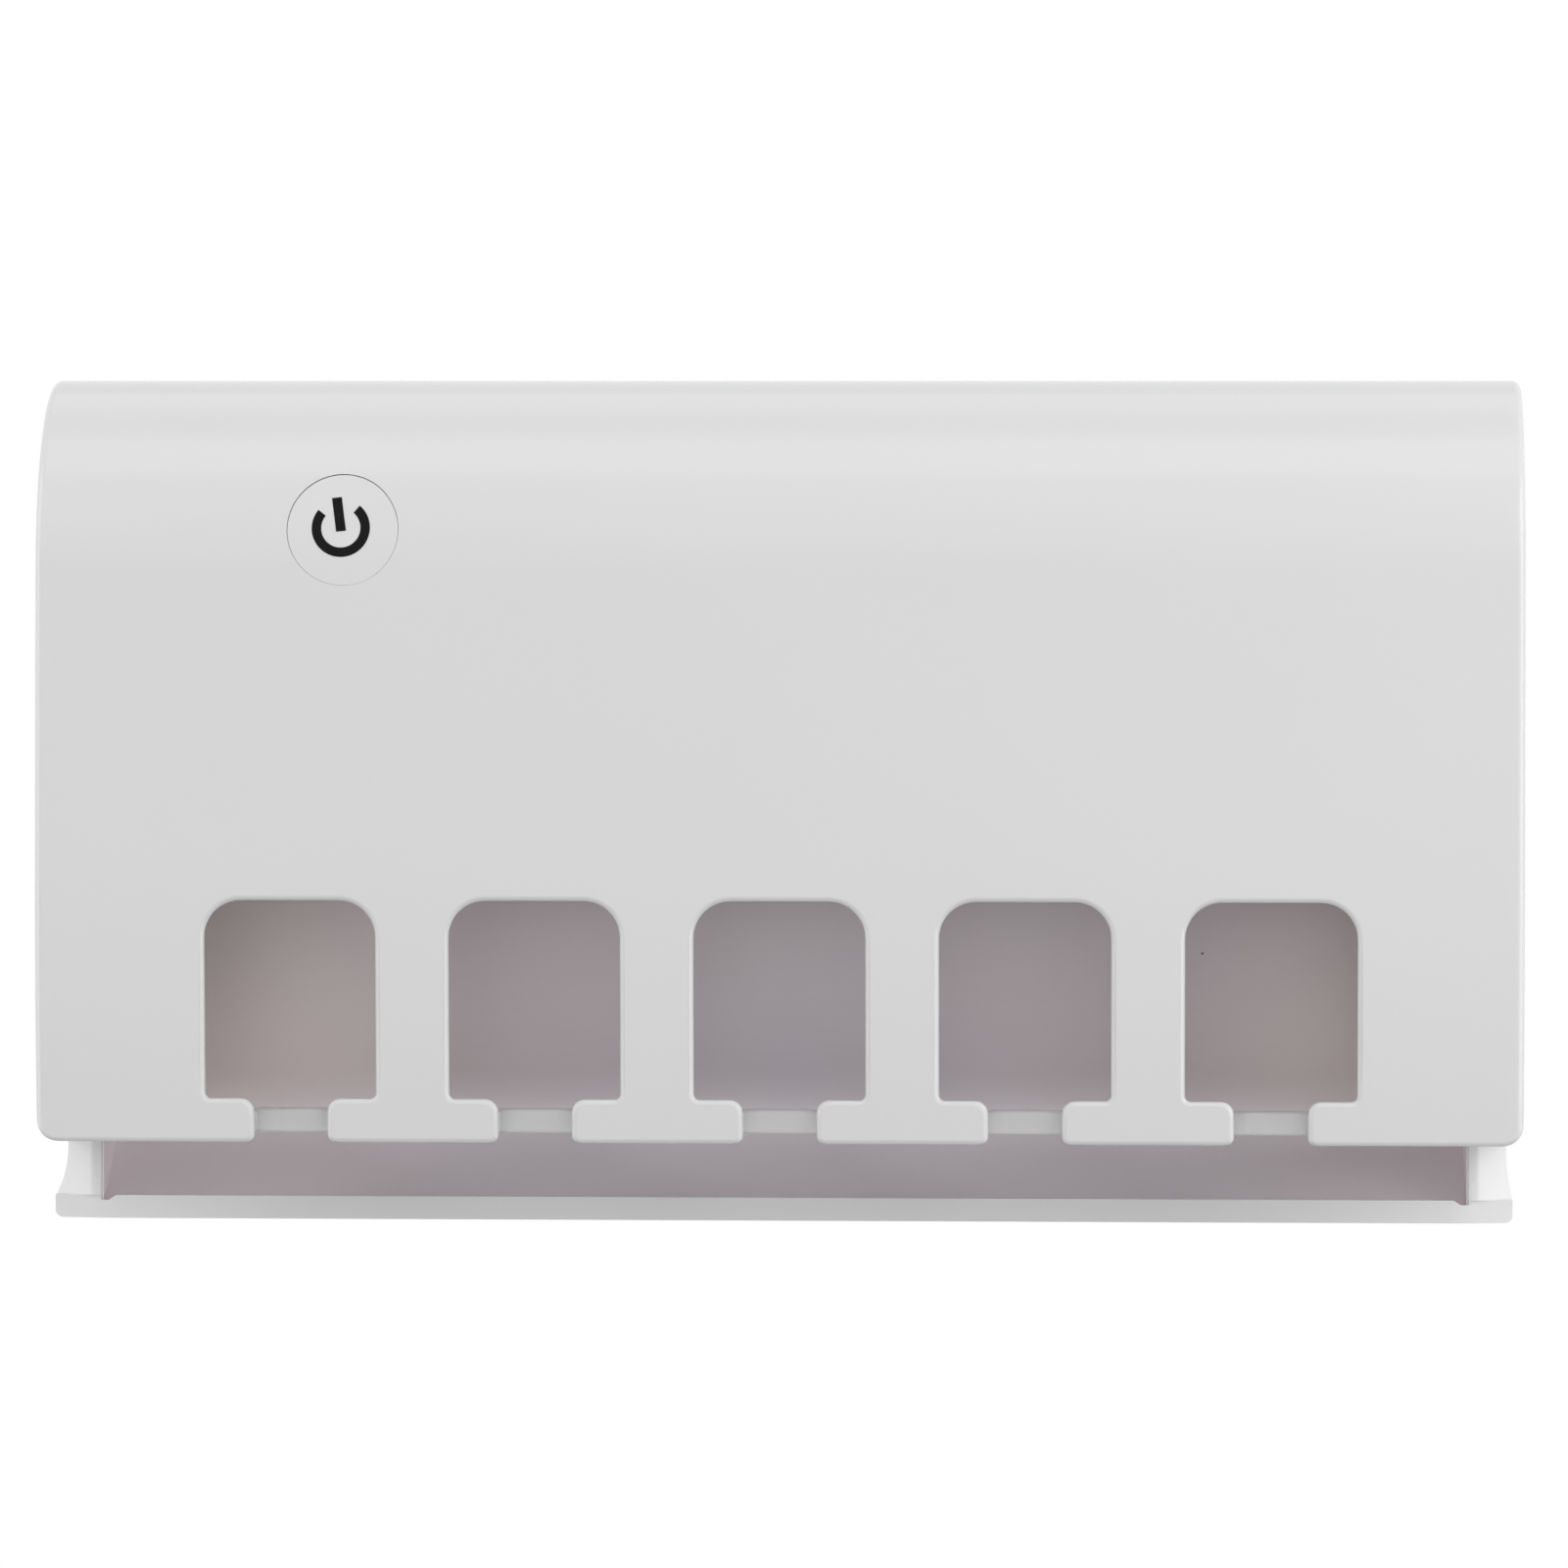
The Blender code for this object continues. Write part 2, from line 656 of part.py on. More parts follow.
def lug(x):
    """A T-shaped lug that the unit's channel slides down over."""
    foot_z = LUG_TOP_Z - LUG_HEIGHT
    stem_half = LUG_STEM_WIDTH / 2
    head_half = LUG_HEAD_WIDTH / 2
    near_y = lug_head_y() - LUG_HEAD_THICKNESS / 2
    far_y = near_y + LUG_HEAD_THICKNESS
    stem = block("stem", (x - stem_half, lug_head_y(), foot_z), (x + stem_half, -BACK_PLATE / 2, LUG_TOP_Z))
    head = block("head", (x - head_half, near_y, foot_z), (x + head_half, far_y, LUG_TOP_Z))
    return join(head, stem)


def channel_back_y():
    """The wall side of the channel's lips, clear of the tray's back plate."""
    return -BACK_PLATE - CHANNEL_STANDOFF


def lug_head_y():
    """The middle of the lug's head, inside the channel."""
    return channel_back_y() - CHANNEL_LIP - CHANNEL_PLAY - LUG_HEAD_THICKNESS / 2


def keyhole(x):
    """A screw keyhole through the back plate, with its slot upwards."""
    front = -BACK_PLATE - OVERCUT
    head = prism("keyhole", circle(x, KEYHOLE_Z, KEYHOLE_HEAD_RADIUS, 20), "Y", OVERCUT, front)
    radius = KEYHOLE_SLOT_RADIUS
    top = KEYHOLE_Z + KEYHOLE_SLOT_LENGTH + radius
    corners = [(x - radius, KEYHOLE_Z, 0.0), (x + radius, KEYHOLE_Z, 0.0),
               (x + radius, top, radius * 0.99), (x - radius, top, radius * 0.99)]
    slot = prism("slot", rounded(corners, 5), "Y", OVERCUT * 0.9, front + OVERCUT * 0.1)
    return join(head, slot)


def pad_outline(x, shrink=0.0):
    return rounded(box_corners(x - PAD_WIDTH / 2 + shrink, x + PAD_WIDTH / 2 - shrink,
                               PAD_Z - PAD_HEIGHT / 2 + shrink, PAD_Z + PAD_HEIGHT / 2 - shrink,
                               PAD_RADIUS - shrink), 4)


def tray_cavity_section():
    """The space between the tray's sides, with a rounded foot and the lip in front."""
    lip_y = TRAY_FRONT_Y + LIP_THICKNESS
    corners = [(-BACK_PLATE, TOP_Z + OVERCUT, 0.0), (-BACK_PLATE, FLOOR_TOP_Z, FLOOR_FILLET),
               (lip_y, FLOOR_TOP_Z, 0.0), (lip_y, LIP_TOP_Z, 0.0), (TRAY_FRONT_Y - OVERCUT, LIP_TOP_Z, 0.0),
               (TRAY_FRONT_Y - OVERCUT, TOP_Z + OVERCUT, 0.0)]
    return rounded(corners)


def build_wall_tray():
    """The moulding that stays on the wall, with flared sides, lip, lugs and keyholes."""
    tray = prism("wall_tray", tray_outline(), "Y", 0.0, TRAY_FRONT_Y, white_shell())
    cut(tray, prism("cavity", tray_cavity_section(), "X", -TRAY_INNER_X, TRAY_INNER_X))
    step_x = TRAY_OUTER_X - TRAY_OUTER_LAYER
    for sign in (-1, 1):
        inner, outer = sorted((sign * (TRAY_INNER_X - GAP), sign * step_x))
        cut(tray, block("step", (inner, TRAY_FRONT_Y - OVERCUT, LIP_TOP_Z + TRAY_STEP_RISE),
                        (outer, TRAY_FRONT_Y + TRAY_STEP, TOP_Z + OVERCUT)))
        dip_start = TRAY_INNER_X + GAP / 10
        dip = [(sign * dip_start, LIP_TOP_Z - LIP_DIP),
               (sign * (TRAY_INNER_X - LIP_DIP_WIDTH), LIP_TOP_Z - LIP_DIP),
               (sign * (TRAY_INNER_X - 2 * LIP_DIP_WIDTH), LIP_TOP_Z + GAP / 10),
               (sign * dip_start, LIP_TOP_Z + GAP / 10)]
        cut(tray, prism("dip", dip, "Y", TRAY_FRONT_Y - OVERCUT, TRAY_FRONT_Y + LIP_THICKNESS + GAP))
    for x in mirrored_x(LUG_X):
        join(tray, lug(x))
    for x in mirrored_x(KEYHOLE_X):
        cut(tray, keyhole(x))
    for x in mirrored_x(PAD_X):
        cut(tray, prism("pad_pocket", pad_outline(x), "Y", OVERCUT, -PAD_POCKET))
    return smooth(tray)


def build_adhesive_pads():
    finish = material("pad_foam", (0.55, 0.57, 0.58), 0.9)
    for name, x in zip(("adhesive_pad_left", "adhesive_pad_right"), mirrored_x(PAD_X)):
        prism(name, pad_outline(x, GAP), "Y", 0.0, -PAD_POCKET + GAP, finish)


def panel_bend():
    """The centre of the panel's bend, set so that its foot rests on the floor behind the lip."""
    toe_y = TRAY_FRONT_Y + LIP_THICKNESS + GAP + PANEL_THICKNESS * sin(PANEL_SLOPE)
    toe_z = FLOOR_TOP_Z + GAP
    centre_y = -BACK_PLATE - GAP - PANEL_THICKNESS - PANEL_BEND_RADIUS
    outer = PANEL_BEND_RADIUS + PANEL_THICKNESS
    centre_z = toe_z + (outer + (centre_y - toe_y) * sin(PANEL_SLOPE)) / cos(PANEL_SLOPE)
    return (centre_y, centre_z), (toe_y, toe_z)


def build_reflector_panel():
    """The thin satin sheet behind the brushes, bent forward at its foot to drain behind the lip."""
    (centre_y, centre_z), (toe_y, toe_z) = panel_bend()
    near_radius = PANEL_BEND_RADIUS
    far_radius = near_radius + PANEL_THICKNESS
    steps = 10
    near = [(centre_y + near_radius, PANEL_TOP_Z)]
    far = [(centre_y + far_radius, PANEL_TOP_Z)]
    for i in range(steps + 1):
        angle = (pi / 2 - PANEL_SLOPE) * i / steps
        near.append((centre_y + near_radius * cos(angle), centre_z - near_radius * sin(angle)))
        far.append((centre_y + far_radius * cos(angle), centre_z - far_radius * sin(angle)))
    near.append((toe_y - PANEL_THICKNESS * sin(PANEL_SLOPE), toe_z + PANEL_THICKNESS * cos(PANEL_SLOPE)))
    far.append((toe_y, toe_z))
    half = TRAY_INNER_X - GAP
    panel = prism("reflector_panel", near + far[::-1], "X", -half, half,
                  material("reflector", (0.42, 0.38, 0.39), 0.35))
    return smooth(panel)


# Rear housing


def housing_section():
    """The electronics chamber's outer side profile, which follows the inside of the cover."""
    wall = COVER_WALL + GAP
    section = [(HOUSING_BACK_Y, TOP_Z - wall)]
    arch_steps = 12
    for i in range(arch_steps + 1):
        angle = pi / 2 * (1 - i / arch_steps)
        section.append((-DEPTH + ARCH_DEPTH - (ARCH_DEPTH - wall) * cos(angle),
                        ARCH_Z + (ARCH_RISE - wall) * sin(angle)))
    section.append((front_y(HOUSING_FLOOR_Z) + wall, HOUSING_FLOOR_Z))
    section.append((HOUSING_BACK_Y, HOUSING_FLOOR_Z))
    return section


def channel(x):
    """The C-shaped channel that hangs on a lug, open at its foot and shut at its head."""
    stop_z = LUG_TOP_Z + GAP
    top = stop_z + CHANNEL_WALL
    bottom = top - CHANNEL_LENGTH
    slot_half = LUG_STEM_WIDTH / 2 + CHANNEL_PLAY
    head_half = LUG_HEAD_WIDTH / 2 + CHANNEL_PLAY
    half = head_half + CHANNEL_WALL
    back = channel_back_y()
    lip_front = back - CHANNEL_LIP
    foot = bottom - OVERCUT
    outer = block("channel", (x - half, HOUSING_BACK_Y - GAP, bottom), (x + half, back, top))
    cut(outer,
        block("slot", (x - slot_half, lip_front - GAP, foot), (x + slot_half, back + OVERCUT, stop_z)),
        block("hollow", (x - head_half, HOUSING_BACK_Y, foot), (x + head_half, lip_front, stop_z)))
    return outer


def build_rear_housing():
    """The box that closes the electronics chamber and carries the lamps and the hanging channels."""
    housing = prism("rear_housing", housing_section(), "X", -HOUSING_X, HOUSING_X, white_shell())
    cut(housing, block("hollow", (-HOUSING_CAVITY_X, -DEPTH - OVERCUT, HOUSING_FLOOR_TOP_Z),
                       (HOUSING_CAVITY_X, HOUSING_INNER_Y, TOP_Z + OVERCUT)))
    for x in mirrored_x(LUG_X):
        join(housing, channel(x))
    ear_room = BOARD_EAR_HALF + GAP
    cut(housing, block("inlet_slot", (-HOUSING_X - OVERCUT, -DEPTH - OVERCUT, PORT_Z - ear_room),
                       (-HOUSING_CAVITY_X + GAP, BOARD_FACE_Y + BOARD_THICKNESS + GAP, PORT_Z + ear_room)))
    for x, z in screw_places():
        cut(housing, prism("screw_hole", circle(x, z, SCREW_HOLE_RADIUS, 16), "Y",
                           HOUSING_BACK_Y + OVERCUT, HOUSING_INNER_Y - OVERCUT))
    seat_z = HOUSING_FLOOR_TOP_Z - LAMP_GLASS_THICKNESS - GAP
    for x in SLOT_CENTRES:
        cut(housing,
            prism("lamp_hole", circle(x, LAMP_Y, LAMP_HOLE_RADIUS, 24), "Z",
                  HOUSING_FLOOR_Z - OVERCUT, HOUSING_FLOOR_TOP_Z + OVERCUT),
            prism("glass_seat", circle(x, LAMP_Y, LAMP_GLASS_RADIUS + GAP, 24), "Z",
                  seat_z, HOUSING_FLOOR_TOP_Z + OVERCUT * 0.9))
    return smooth(housing)


def screw(name, x, y, z, length):
    """A pan-head screw along Y, with its head towards the wall and a cross recess."""
    finish = material("screw_steel", (0.62, 0.63, 0.65), 0.3, 1.0)
    steps = 16
    profile = [(SCREW_HEAD_RADIUS * 0.75, y + SCREW_HEAD_HEIGHT),
               (SCREW_HEAD_RADIUS, y + SCREW_HEAD_HEIGHT * 0.6),
               (SCREW_HEAD_RADIUS, y),
               (SCREW_RADIUS, y - GAP / 10),
               (SCREW_RADIUS, y - length + SCREW_RADIUS),
               (SCREW_RADIUS * 0.3, y - length)]
    rings = [[(u, depth, v) for u, v in circle(x, z, radius, steps)] for radius, depth in profile]
    body = loft(name, rings, finish)
    reach = SCREW_HEAD_RADIUS * 0.55
    arm = SCREW_HEAD_RADIUS * 0.13
    bottom = y + SCREW_HEAD_HEIGHT * 0.35
    top = y + SCREW_HEAD_HEIGHT + OVERCUT
    across = block("across", (x - reach, bottom, z - arm), (x + reach, top, z + arm))
    upright = block("upright", (x - arm, bottom, z - reach), (x + arm, top, z + reach))
    cut(body, join(across, upright))
    return smooth(body)


def build_screws():
    for number, (x, z) in enumerate(screw_places(), 1):
        screw(f"housing_screw_{number}", x, HOUSING_BACK_Y + GAP, z, HOUSING_WALL + SCREW_LENGTH * 0.8)
    for number, (x, z) in enumerate(board_screw_places(), 1):
        screw(f"board_screw_{number}", x, BOARD_FACE_Y + BOARD_THICKNESS + GAP, z,
              BOARD_THICKNESS + SCREW_LENGTH * 0.6)


# Electronics


def build_control_board():
    """The vertical board, with an ear through the housing's side that carries the inlet."""
    ear_low = PORT_Z - BOARD_EAR_HALF
    ear_high = PORT_Z + BOARD_EAR_HALF
    ear_x = -WIDTH / 2 + BOARD_EAR_SIDE
    radius = BOARD_CORNER
    corners = [(BOARD_LEFT_X, BOARD_LOW_Z, radius), (BOARD_RIGHT_X, BOARD_LOW_Z, radius),
               (BOARD_RIGHT_X, BOARD_HIGH_Z, radius), (BOARD_LEFT_X, BOARD_HIGH_Z, radius),
               (BOARD_LEFT_X, ear_high, 0.0), (ear_x, ear_high, radius),
               (ear_x, ear_low, radius), (BOARD_LEFT_X, ear_low, 0.0)]
    board = prism("control_board", rounded(corners, 3), "Y", BOARD_FACE_Y, BOARD_FACE_Y + BOARD_THICKNESS,
                  material("board_green", (0.02, 0.16, 0.06), 0.45))
    for x, z in board_screw_places():
        cut(board, prism("hole", circle(x, z, SCREW_HOLE_RADIUS, 16), "Y",
                         BOARD_FACE_Y - OVERCUT, BOARD_FACE_Y + BOARD_THICKNESS + OVERCUT))
    return smooth(board)


def build_control_chip():
    half = CHIP_SIZE / 2
    x = (BOARD_LEFT_X + BOARD_RIGHT_X) / 2
    z = BOARD_LOW_Z + CHIP_SIZE
    face = BOARD_FACE_Y + BOARD_THICKNESS + GAP
    rings = []
    for depth, reach in ((0.0, half), (CHIP_SIZE * 0.12, half), (CHIP_SIZE * 0.17, half - SMALL_EDGE)):
        corners = box_corners(x - reach, x + reach, z - reach, z + reach, PACKAGE_CORNER)
        rings.append([(u, face + depth, v) for u, v in rounded(corners, 1)])
    return loft("control_chip", rings, material("chip_black", (0.03, 0.03, 0.03), 0.5))


def port_section(shrink):
    """The inlet's oval, which lies on the control board's face, drawn in by a wall or a gap."""
    low = PORT_HEIGHT / 2 - shrink
    wide = PORT_WIDTH / 2 - shrink
    return rounded(box_corners(PORT_Y - low, PORT_Y + low, PORT_Z - wide, PORT_Z + wide, low * 0.99), 4)


def build_charging_inlet():
    """The inlet's drawn metal shell with its contact tongue, open to the cover's left side."""
    mouth_x = -WIDTH / 2 + PORT_INSET
    shell = prism("charging_inlet", port_section(0.0), "X", mouth_x, mouth_x + PORT_LENGTH,
                  material("inlet_steel", (0.70, 0.71, 0.72), 0.25, 1.0))
    cut(shell, prism("hollow", port_section(PORT_SHELL), "X", mouth_x - OVERCUT,
                     mouth_x + PORT_LENGTH - PORT_SHELL * 4))
    smooth(shell)
    half = TONGUE_WIDTH / 2
    tongue = rounded(box_corners(PORT_Y - TONGUE_THICKNESS / 2, PORT_Y + TONGUE_THICKNESS / 2,
                                 PORT_Z - half, PORT_Z + half, TONGUE_THICKNESS * 0.3), 2)
    prism("inlet_tongue", tongue, "X", mouth_x + PORT_LENGTH * 0.1,
          mouth_x + PORT_LENGTH - PORT_SHELL * 4 - GAP, material("tongue_black", (0.03, 0.03, 0.03), 0.4))
    return shell


def cell_centre():
    """The cell's axis, which rests in its cradle on the housing's back wall."""
    y = HOUSING_INNER_Y - GAP - CRADLE_BASE - GAP - CELL_RADIUS
    z = (HOUSING_FLOOR_TOP_Z + TOP_Z - COVER_WALL) / 2
    return y, z


def build_battery_cell():
    """The rechargeable cell, with its raised end on the right."""
    y, z = cell_centre()
    left = CELL_X - CELL_LENGTH / 2
    right = CELL_X + CELL_LENGTH / 2
    shoulder = right - CELL_CAP_HEIGHT
    profile = [(left, CELL_RADIUS - CELL_EDGE), (left + CELL_EDGE, CELL_RADIUS),
               (shoulder - CELL_EDGE, CELL_RADIUS), (shoulder, CELL_RADIUS - CELL_EDGE),
               (shoulder, CELL_CAP_RADIUS), (right, CELL_CAP_RADIUS)]
    rings = [[(x, u, v) for u, v in circle(y, z, radius, 24)] for x, radius in profile]
    return smooth(loft("battery_cell", rings, material("cell_wrap", (0.10, 0.22, 0.42), 0.4)))


def build_battery_holder():
    """The cell's open cradle, notched for fingers, and the contact at each end."""
    z = cell_centre()[1]
    inner_half = CELL_LENGTH / 2 + CONTACT_THICKNESS + 2 * GAP
    inner_reach = CELL_RADIUS + GAP
    back = HOUSING_INNER_Y - GAP
    front = back - CRADLE_HEIGHT
    end = inner_half + CRADLE_WALL
    reach = inner_reach + CRADLE_WALL
    cradle = block("battery_cradle", (CELL_X - end, front, z - reach), (CELL_X + end, back, z + reach),
                   material("cradle_black", (0.05, 0.05, 0.05), 0.5))
    notch = CELL_LENGTH * 0.22
    cut(cradle,
        block("open", (CELL_X - inner_half, front - OVERCUT, z - inner_reach),
              (CELL_X + inner_half, back - CRADLE_BASE, z + inner_reach)),
        block("finger_notch", (CELL_X - notch, front - OVERCUT * 2, z - reach - OVERCUT),
              (CELL_X + notch, back - CRADLE_BASE * 2, z + reach + OVERCUT)))
    steel = material("contact_steel", (0.72, 0.72, 0.70), 0.3, 1.0)
    contact_reach = CELL_RADIUS * 0.55
    left = CELL_X - inner_half + GAP
    right = CELL_X + inner_half - GAP - CONTACT_THICKNESS
    for name, low in (("battery_contact_left", left), ("battery_contact_right", right)):
        block(name, (low, front, z - contact_reach),
              (low + CONTACT_THICKNESS, back - CRADLE_BASE - GAP, z + contact_reach), steel)


def lamp_heights():
    """The heights of each lamp's glass, light source and strip, bottom up from the floor."""
    glass = HOUSING_FLOOR_TOP_Z - LAMP_GLASS_THICKNESS
    led = glass + LAMP_GLASS_THICKNESS + GAP
    strip = led + LED_HEIGHT + GAP
    return glass, led, strip


def build_lamps():
    """Five ultraviolet sources on one strip, each behind a round clear glass in the chamber's floor."""
    glass_z, led_z, strip_z = lamp_heights()
    clear = material("lamp_glass", (0.85, 0.88, 0.92), 0.05)
    ceramic = material("led_ceramic", (0.85, 0.84, 0.78), 0.4)
    for number, x in enumerate(SLOT_CENTRES, 1):
        smooth(prism(f"lamp_glass_{number}", circle(x, LAMP_Y, LAMP_GLASS_RADIUS, 24), "Z",
                     glass_z, glass_z + LAMP_GLASS_THICKNESS, clear))
        half = LED_SIZE / 2
        package = block(f"uv_led_{number}", (x - half, LAMP_Y - half, led_z),
                        (x + half, LAMP_Y + half, led_z + LED_HEIGHT), ceramic)
        well = [[(u, v, led_z - GAP) for u, v in circle(x, LAMP_Y, half * 0.72, 12)],
                [(u, v, led_z + LED_HEIGHT * 0.5) for u, v in circle(x, LAMP_Y, half * 0.5, 12)]]
        cut(package, loft("well", well))
    end_x = SLOT_CENTRES[-1] + STRIP_OVERHANG
    corners = box_corners(-end_x, end_x, LAMP_Y - STRIP_WIDTH / 2, LAMP_Y + STRIP_WIDTH / 2, BOARD_CORNER)
    return prism("lamp_strip", rounded(corners, 2), "Z", strip_z, strip_z + STRIP_THICKNESS,
                 material("strip_white", (0.80, 0.81, 0.78), 0.4))


def lead(name, points, colour):
    """An insulated lead on a smooth curve through its route's points."""
    curve = bpy.data.curves.new(name, "CURVE")
    curve.dimensions = "3D"
    curve.bevel_depth = LEAD_RADIUS
    curve.bevel_resolution = 1
    curve.use_fill_caps = True
    route = smooth_route([Vector(p) for p in points], 6)
    spline = curve.splines.new("POLY")
    spline.points.add(len(route) - 1)
    for slot, point in zip(spline.points, route):
        slot.co = (*point, 1.0)
    obj = bpy.data.objects.new(name, curve)
    bpy.context.collection.objects.link(obj)
    curve.materials.append(material(name, colour, 0.5))
    return obj


def smooth_route(points, steps):
    """Points on a Catmull-Rom curve through a route."""
    ends = [points[0] * 2 - points[1]] + points + [points[-1] * 2 - points[-2]]
    route = []
    for i in range(1, len(ends) - 2):
        a, b, c, d = ends[i - 1:i + 3]
        for k in range(steps):
            t = k / steps
            route.append(0.5 * (2 * b + (c - a) * t + (2 * a - 5 * b + 4 * c - d) * t ** 2
                                + (3 * b - a - 3 * c + d) * t ** 3))
    route.append(points[-1])
    return route


def build_leads():
    """The two battery leads and the lamp lead, laid along the housing's back wall and floor."""
    z = cell_centre()[1]
    bend = LEAD_BEND
    rest_y = HOUSING_INNER_Y - GAP - LEAD_RADIUS
    board_y = BOARD_FACE_Y + BOARD_THICKNESS + GAP + LEAD_RADIUS
    end = CELL_LENGTH / 2 + CONTACT_THICKNESS + 3 * GAP + CRADLE_WALL + LEAD_RADIUS
    left = CELL_X - end
    right = CELL_X + end
    under_z = z - CELL_RADIUS - 2 * GAP - CRADLE_WALL - LEAD_RADIUS
    board_x = BOARD_RIGHT_X - bend
    lead("lead_black", [(left, rest_y, z), (left - bend, rest_y, z), (left - 3 * bend, rest_y, z - bend / 2),
                        (board_x + 3.5 * bend, rest_y - bend / 2, z - bend / 2),
                        (board_x + 1.5 * bend, board_y + 2 * bend, z - bend / 4),
                        (board_x, board_y + 0.75 * bend, z), (board_x, board_y, z)], (0.02, 0.02, 0.02))
    low_z = z - 2 * bend
    lead("lead_red", [(right, rest_y, z), (right + 0.75 * bend, rest_y, z - bend),
                      (right - bend / 2, rest_y, under_z), (CELL_X, rest_y, under_z), (left, rest_y, under_z),
                      (left - 3 * bend, rest_y, under_z + bend / 4),
                      (board_x + 3.5 * bend, rest_y - bend / 2, low_z - bend / 2),
                      (board_x + 1.5 * bend, board_y + 2 * bend, low_z - bend / 4),
                      (board_x, board_y + 0.75 * bend, low_z), (board_x, board_y, low_z)], (0.55, 0.03, 0.03))
    strip_top = lamp_heights()[2] + STRIP_THICKNESS + GAP + LEAD_RADIUS
    drop_x = board_x - bend
    lead("lamp_lead", [(drop_x - 2.5 * bend, LAMP_Y, strip_top),
                       (drop_x - 1.5 * bend, LAMP_Y, strip_top + bend / 8),
                       (drop_x - bend / 4, LAMP_Y - bend / 4, strip_top + bend),
                       (drop_x, board_y + 1.25 * bend, BOARD_LOW_Z + bend / 8),
                       (drop_x, board_y + 0.3 * bend, BOARD_LOW_Z + bend / 2),
                       (drop_x, board_y, BOARD_LOW_Z + 0.75 * bend)], (0.75, 0.75, 0.72))


def main():
    for obj in list(bpy.data.objects):
        bpy.data.objects.remove(obj)
    build_wall_tray()
    build_adhesive_pads()
    build_reflector_panel()
    build_front_cover()
    build_rear_housing()
    build_power_button()
    build_switch_plunger()
    build_switch_body()
    build_control_board()
    build_control_chip()
    build_charging_inlet()
    build_battery_cell()
    build_battery_holder()
    build_lamps()
    build_leads()
    build_screws()


main()
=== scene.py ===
from math import atan, cos, pi, radians, sin, sqrt, tan

import bmesh
import bpy
from mathutils import Matrix, Vector


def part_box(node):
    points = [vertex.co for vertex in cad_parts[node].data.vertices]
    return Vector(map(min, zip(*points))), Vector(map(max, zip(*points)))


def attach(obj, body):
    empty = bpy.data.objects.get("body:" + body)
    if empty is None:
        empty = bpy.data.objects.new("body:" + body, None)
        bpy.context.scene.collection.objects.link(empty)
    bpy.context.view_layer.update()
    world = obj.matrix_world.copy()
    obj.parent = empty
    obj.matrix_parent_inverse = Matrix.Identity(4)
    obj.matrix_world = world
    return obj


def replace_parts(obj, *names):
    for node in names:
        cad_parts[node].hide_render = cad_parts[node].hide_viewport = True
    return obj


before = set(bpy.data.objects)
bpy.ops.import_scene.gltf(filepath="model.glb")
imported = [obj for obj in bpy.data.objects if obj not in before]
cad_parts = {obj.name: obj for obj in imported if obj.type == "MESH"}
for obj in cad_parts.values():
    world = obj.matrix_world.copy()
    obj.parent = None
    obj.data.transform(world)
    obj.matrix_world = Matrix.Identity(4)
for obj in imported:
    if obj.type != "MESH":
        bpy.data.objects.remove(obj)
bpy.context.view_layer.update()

MM = 0.001

# The frame's own places, in metres
COVER_LOW, COVER_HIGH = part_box("front_cover")
TRAY_LOW, TRAY_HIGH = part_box("wall_tray")
BUTTON_LOW, BUTTON_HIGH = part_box("power_button")
PANEL_TOP_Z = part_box("reflector_panel")[1].z
BOARD_FRONT_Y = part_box("control_board")[0].y
INLET_LOW, INLET_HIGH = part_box("charging_inlet")

HALF_WIDTH = COVER_HIGH.x
TOP_Z = COVER_HIGH.z
BOTTOM_Z = COVER_LOW.z
DEPTH = -COVER_LOW.y
COVER_BACK_Y = COVER_HIGH.y
BASE_Z = TRAY_LOW.z

# Shared small distances
OVERCUT = 2 * MM
CLEARANCE = 0.3 * MM
SLIVER = 0.03 * MM

# Shell form
WALL = 2.0 * MM
ARCH_RISE = 33 * MM
ARCH_DEPTH = 29 * MM
BOW_HEIGHT = 48 * MM
BOW_SETBACK = 3.8 * MM
SIDE_FILLET = 1.4 * MM
BOTTOM_FILLET = 1.0 * MM
LOWER_CORNER = 3.6 * MM

# Brush slots
SLOT_SHIFT = 0.37 * MM
SLOT_SPREAD = 0.997
LED_BOXES = [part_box(f"uv_led_{n}") for n in range(1, 6)]
SLOT_X = [SLOT_SHIFT + SLOT_SPREAD * (low.x + high.x) / 2 for low, high in LED_BOXES]
WINDOW_WIDTH = 28.8 * MM
WINDOW_SILL = 7.4 * MM
WINDOW_HEIGHT = 33.3 * MM
WINDOW_TOP_RADIUS = 6.1 * MM
WINDOW_FOOT_RADIUS = 1.0 * MM
NECK_WIDTH = 12.4 * MM
NECK_DEPTH = 15.0 * MM
NECK_RADIUS = 3.4 * MM
TAB_RADIUS = 2.2 * MM
TAB_FOOT_RADIUS = 1.3 * MM
RIM_FILLET = 1.0 * MM
BACK_RIM_FILLET = 0.5 * MM

# Shelf behind the tabs
SHELF_DROP = 2.1 * MM
SHELF_THICKNESS = 4.0 * MM
SHELF_BACK_Y = -27.0 * MM
SHELF_POCKET = 2.2 * MM
SHELF_RIB = 1.8 * MM
SHELF_EDGE = 0.6 * MM
POCKET_RADIUS = 1.0 * MM
NOTCH_INSET = 0.4 * MM
NOTCH_HEADROOM = 0.25 * MM

